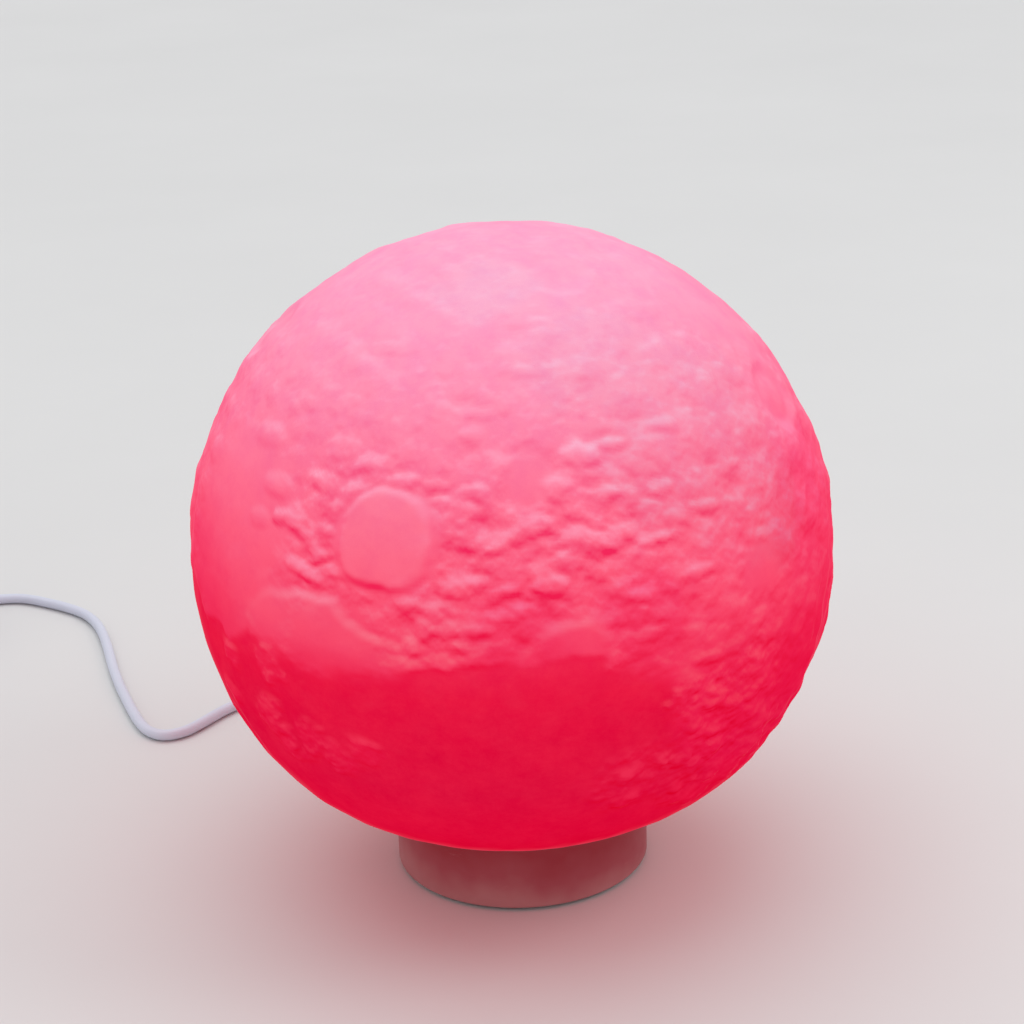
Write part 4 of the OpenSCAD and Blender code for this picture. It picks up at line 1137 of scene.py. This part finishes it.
# What each material slot is made of, in screen colours.
FINISHES = {
    "ring_plastic": (plastic, dict(colour=(232, 224, 222), rough=0.5)),
    # The base is white plastic; its colours below are the shade's red glow, painted on, deepest
    # under the shade.
    "base_plastic": (painted_glow_plastic, dict(
        foot=(180, 112, 114), waist=(162, 66, 76), shoulder=(150, 32, 48))),
    "cover_plastic": (plastic, dict(
        colour=(228, 220, 217), rough=0.55, grain_scale=1800.0, depth=0.00004)),
    "screw_steel": (metal, dict(colour=(196, 198, 200), dull=(130, 130, 132), rough=0.3)),
    "foot_rubber": (plastic, dict(
        colour=(52, 52, 55), rubbed=(78, 78, 80), rough=0.85, grain_scale=1600.0, mottle=0.15,
        depth=0.00006)),
    "lamp_board": (board, dict(mask=(232, 234, 230), track=(214, 216, 211))),
    "lamp_lens": (glowing, dict(
        colour=(255, 214, 200), glow=(255, 70, 100), strength=2.5, rough=0.2)),
    "red_wire": (plastic, dict(colour=(196, 40, 48), rough=0.4, grain_scale=4000.0)),
    "frosted_plastic": (glowing, dict(
        colour=(252, 236, 234), glow=(255, 90, 120), strength=0.9, rough=0.5)),
    "circuit_board": (board, dict(mask=(20, 92, 50), track=(38, 128, 70))),
    "chip_resin": (plastic, dict(
        colour=(36, 36, 40), rubbed=(60, 60, 64), rough=0.5, grain_scale=6000.0, mottle=0.12)),
    "capacitor_sleeve": (plastic, dict(
        colour=(40, 40, 46), rubbed=(88, 88, 92), rough=0.28, grain_scale=3000.0, mottle=0.1)),
    "connector_nylon": (plastic, dict(colour=(240, 232, 214), rough=0.48, grain_scale=3500.0)),
    "switch_plastic": (plastic, dict(
        colour=(58, 58, 62), rubbed=(84, 84, 88), rough=0.5, grain_scale=5000.0)),
    "button_plastic": (plastic, dict(colour=(226, 216, 214), rough=0.36, grain_scale=4000.0)),
    "gland_plastic": (plastic, dict(colour=(232, 230, 234), rough=0.52, grain_scale=3000.0)),
    "cord_sheath": (plastic, dict(
        colour=(208, 211, 226), rubbed=(228, 229, 238), rough=0.38, grain_scale=3200.0,
        mottle=0.08)),
    "tie_band": (plastic, dict(
        colour=(214, 214, 220), rubbed=(232, 232, 236), rough=0.7, grain_scale=2600.0,
        mottle=0.12, depth=0.00006)),
    "grip_plastic": (plastic, dict(colour=(236, 236, 240), rough=0.46)),
    "plug_metal": (metal, dict(
        colour=(214, 214, 216), dull=(160, 160, 162), rough=0.18, scratch_scale=700.0)),
    "tongue_plastic": (plastic, dict(colour=(242, 242, 242), rough=0.4)),
    "contact_gold": (metal, dict(colour=(232, 190, 104), dull=(180, 140, 70), rough=0.22)),
}


def dress_nodes():
    """Gives every solid that stays in view the finish of its material slot."""
    made = {slot: make(slot, **how) for slot, (make, how) in FINISHES.items()}
    for row in frame["record"]["subparts"]:
        finish = made.get(row["material_slot"])
        if finish:
            for holder in frame["nodes"][row["node"]].material_slots:
                holder.material = finish
    return made


# ---------- table and light ----------

TABLE_SIZE = 30000
# The table's face lies just under the feet, so the two never share a plane.
TABLE_GAP = 0.1
AIR_COLOUR = (0.97, 0.98, 1.0, 1)
AIR_STRENGTH = 0.72
# Softboxes: place, aim and width in metres, power in watts.
SOFTBOXES = {
    "overhead_softbox": ((-0.6, 1.4, 7.4), (0, 0.6, 0), 9.6, 230),
    "side_softbox": ((0.9, -0.16, 0.86), (0, 0, 0.06), 0.5, 1.8),
}


def lay_table():
    deselect_all()
    bpy.ops.mesh.primitive_plane_add(size=TABLE_SIZE * MM, location=(0, 0, -TABLE_GAP * MM))
    table = bpy.context.object
    table.name = table.data.name = "table_top"
    table.data.materials.append(table_material())


def hang_softbox(name, place, aim, size, power):
    data = bpy.data.lights.new(name, "AREA")
    data.shape = "DISK"
    data.size = size
    data.energy = power
    light = bpy.data.objects.new(name, data)
    bpy.context.scene.collection.objects.link(light)
    light.location = place
    light.rotation_mode = "QUATERNION"
    light.rotation_quaternion = (Vector(aim) - Vector(place)).to_track_quat("-Z", "Y")
    light.visible_camera = False


def light_studio():
    """An even pale room, so that the glow keeps its colours, with two soft lamps."""
    world = bpy.data.worlds.new("studio_air")
    bpy.context.scene.world = world
    world.use_nodes = True
    air = world.node_tree.nodes["Background"]
    air.inputs["Color"].default_value = AIR_COLOUR
    air.inputs["Strength"].default_value = AIR_STRENGTH
    for name, (place, aim, size, power) in SOFTBOXES.items():
        hang_softbox(name, place, aim, size, power)
    # Screen colours come out as they were set.
    bpy.context.scene.view_settings.view_transform = "Standard"


aim_camera()
make_mould_skin()
make_plated_metal()
make_board_print()
make_rubble()
finishes = dress_nodes()
lay_cord(finishes["cord_sheath"])
grow_moon(moon_material())
lay_table()
light_studio()
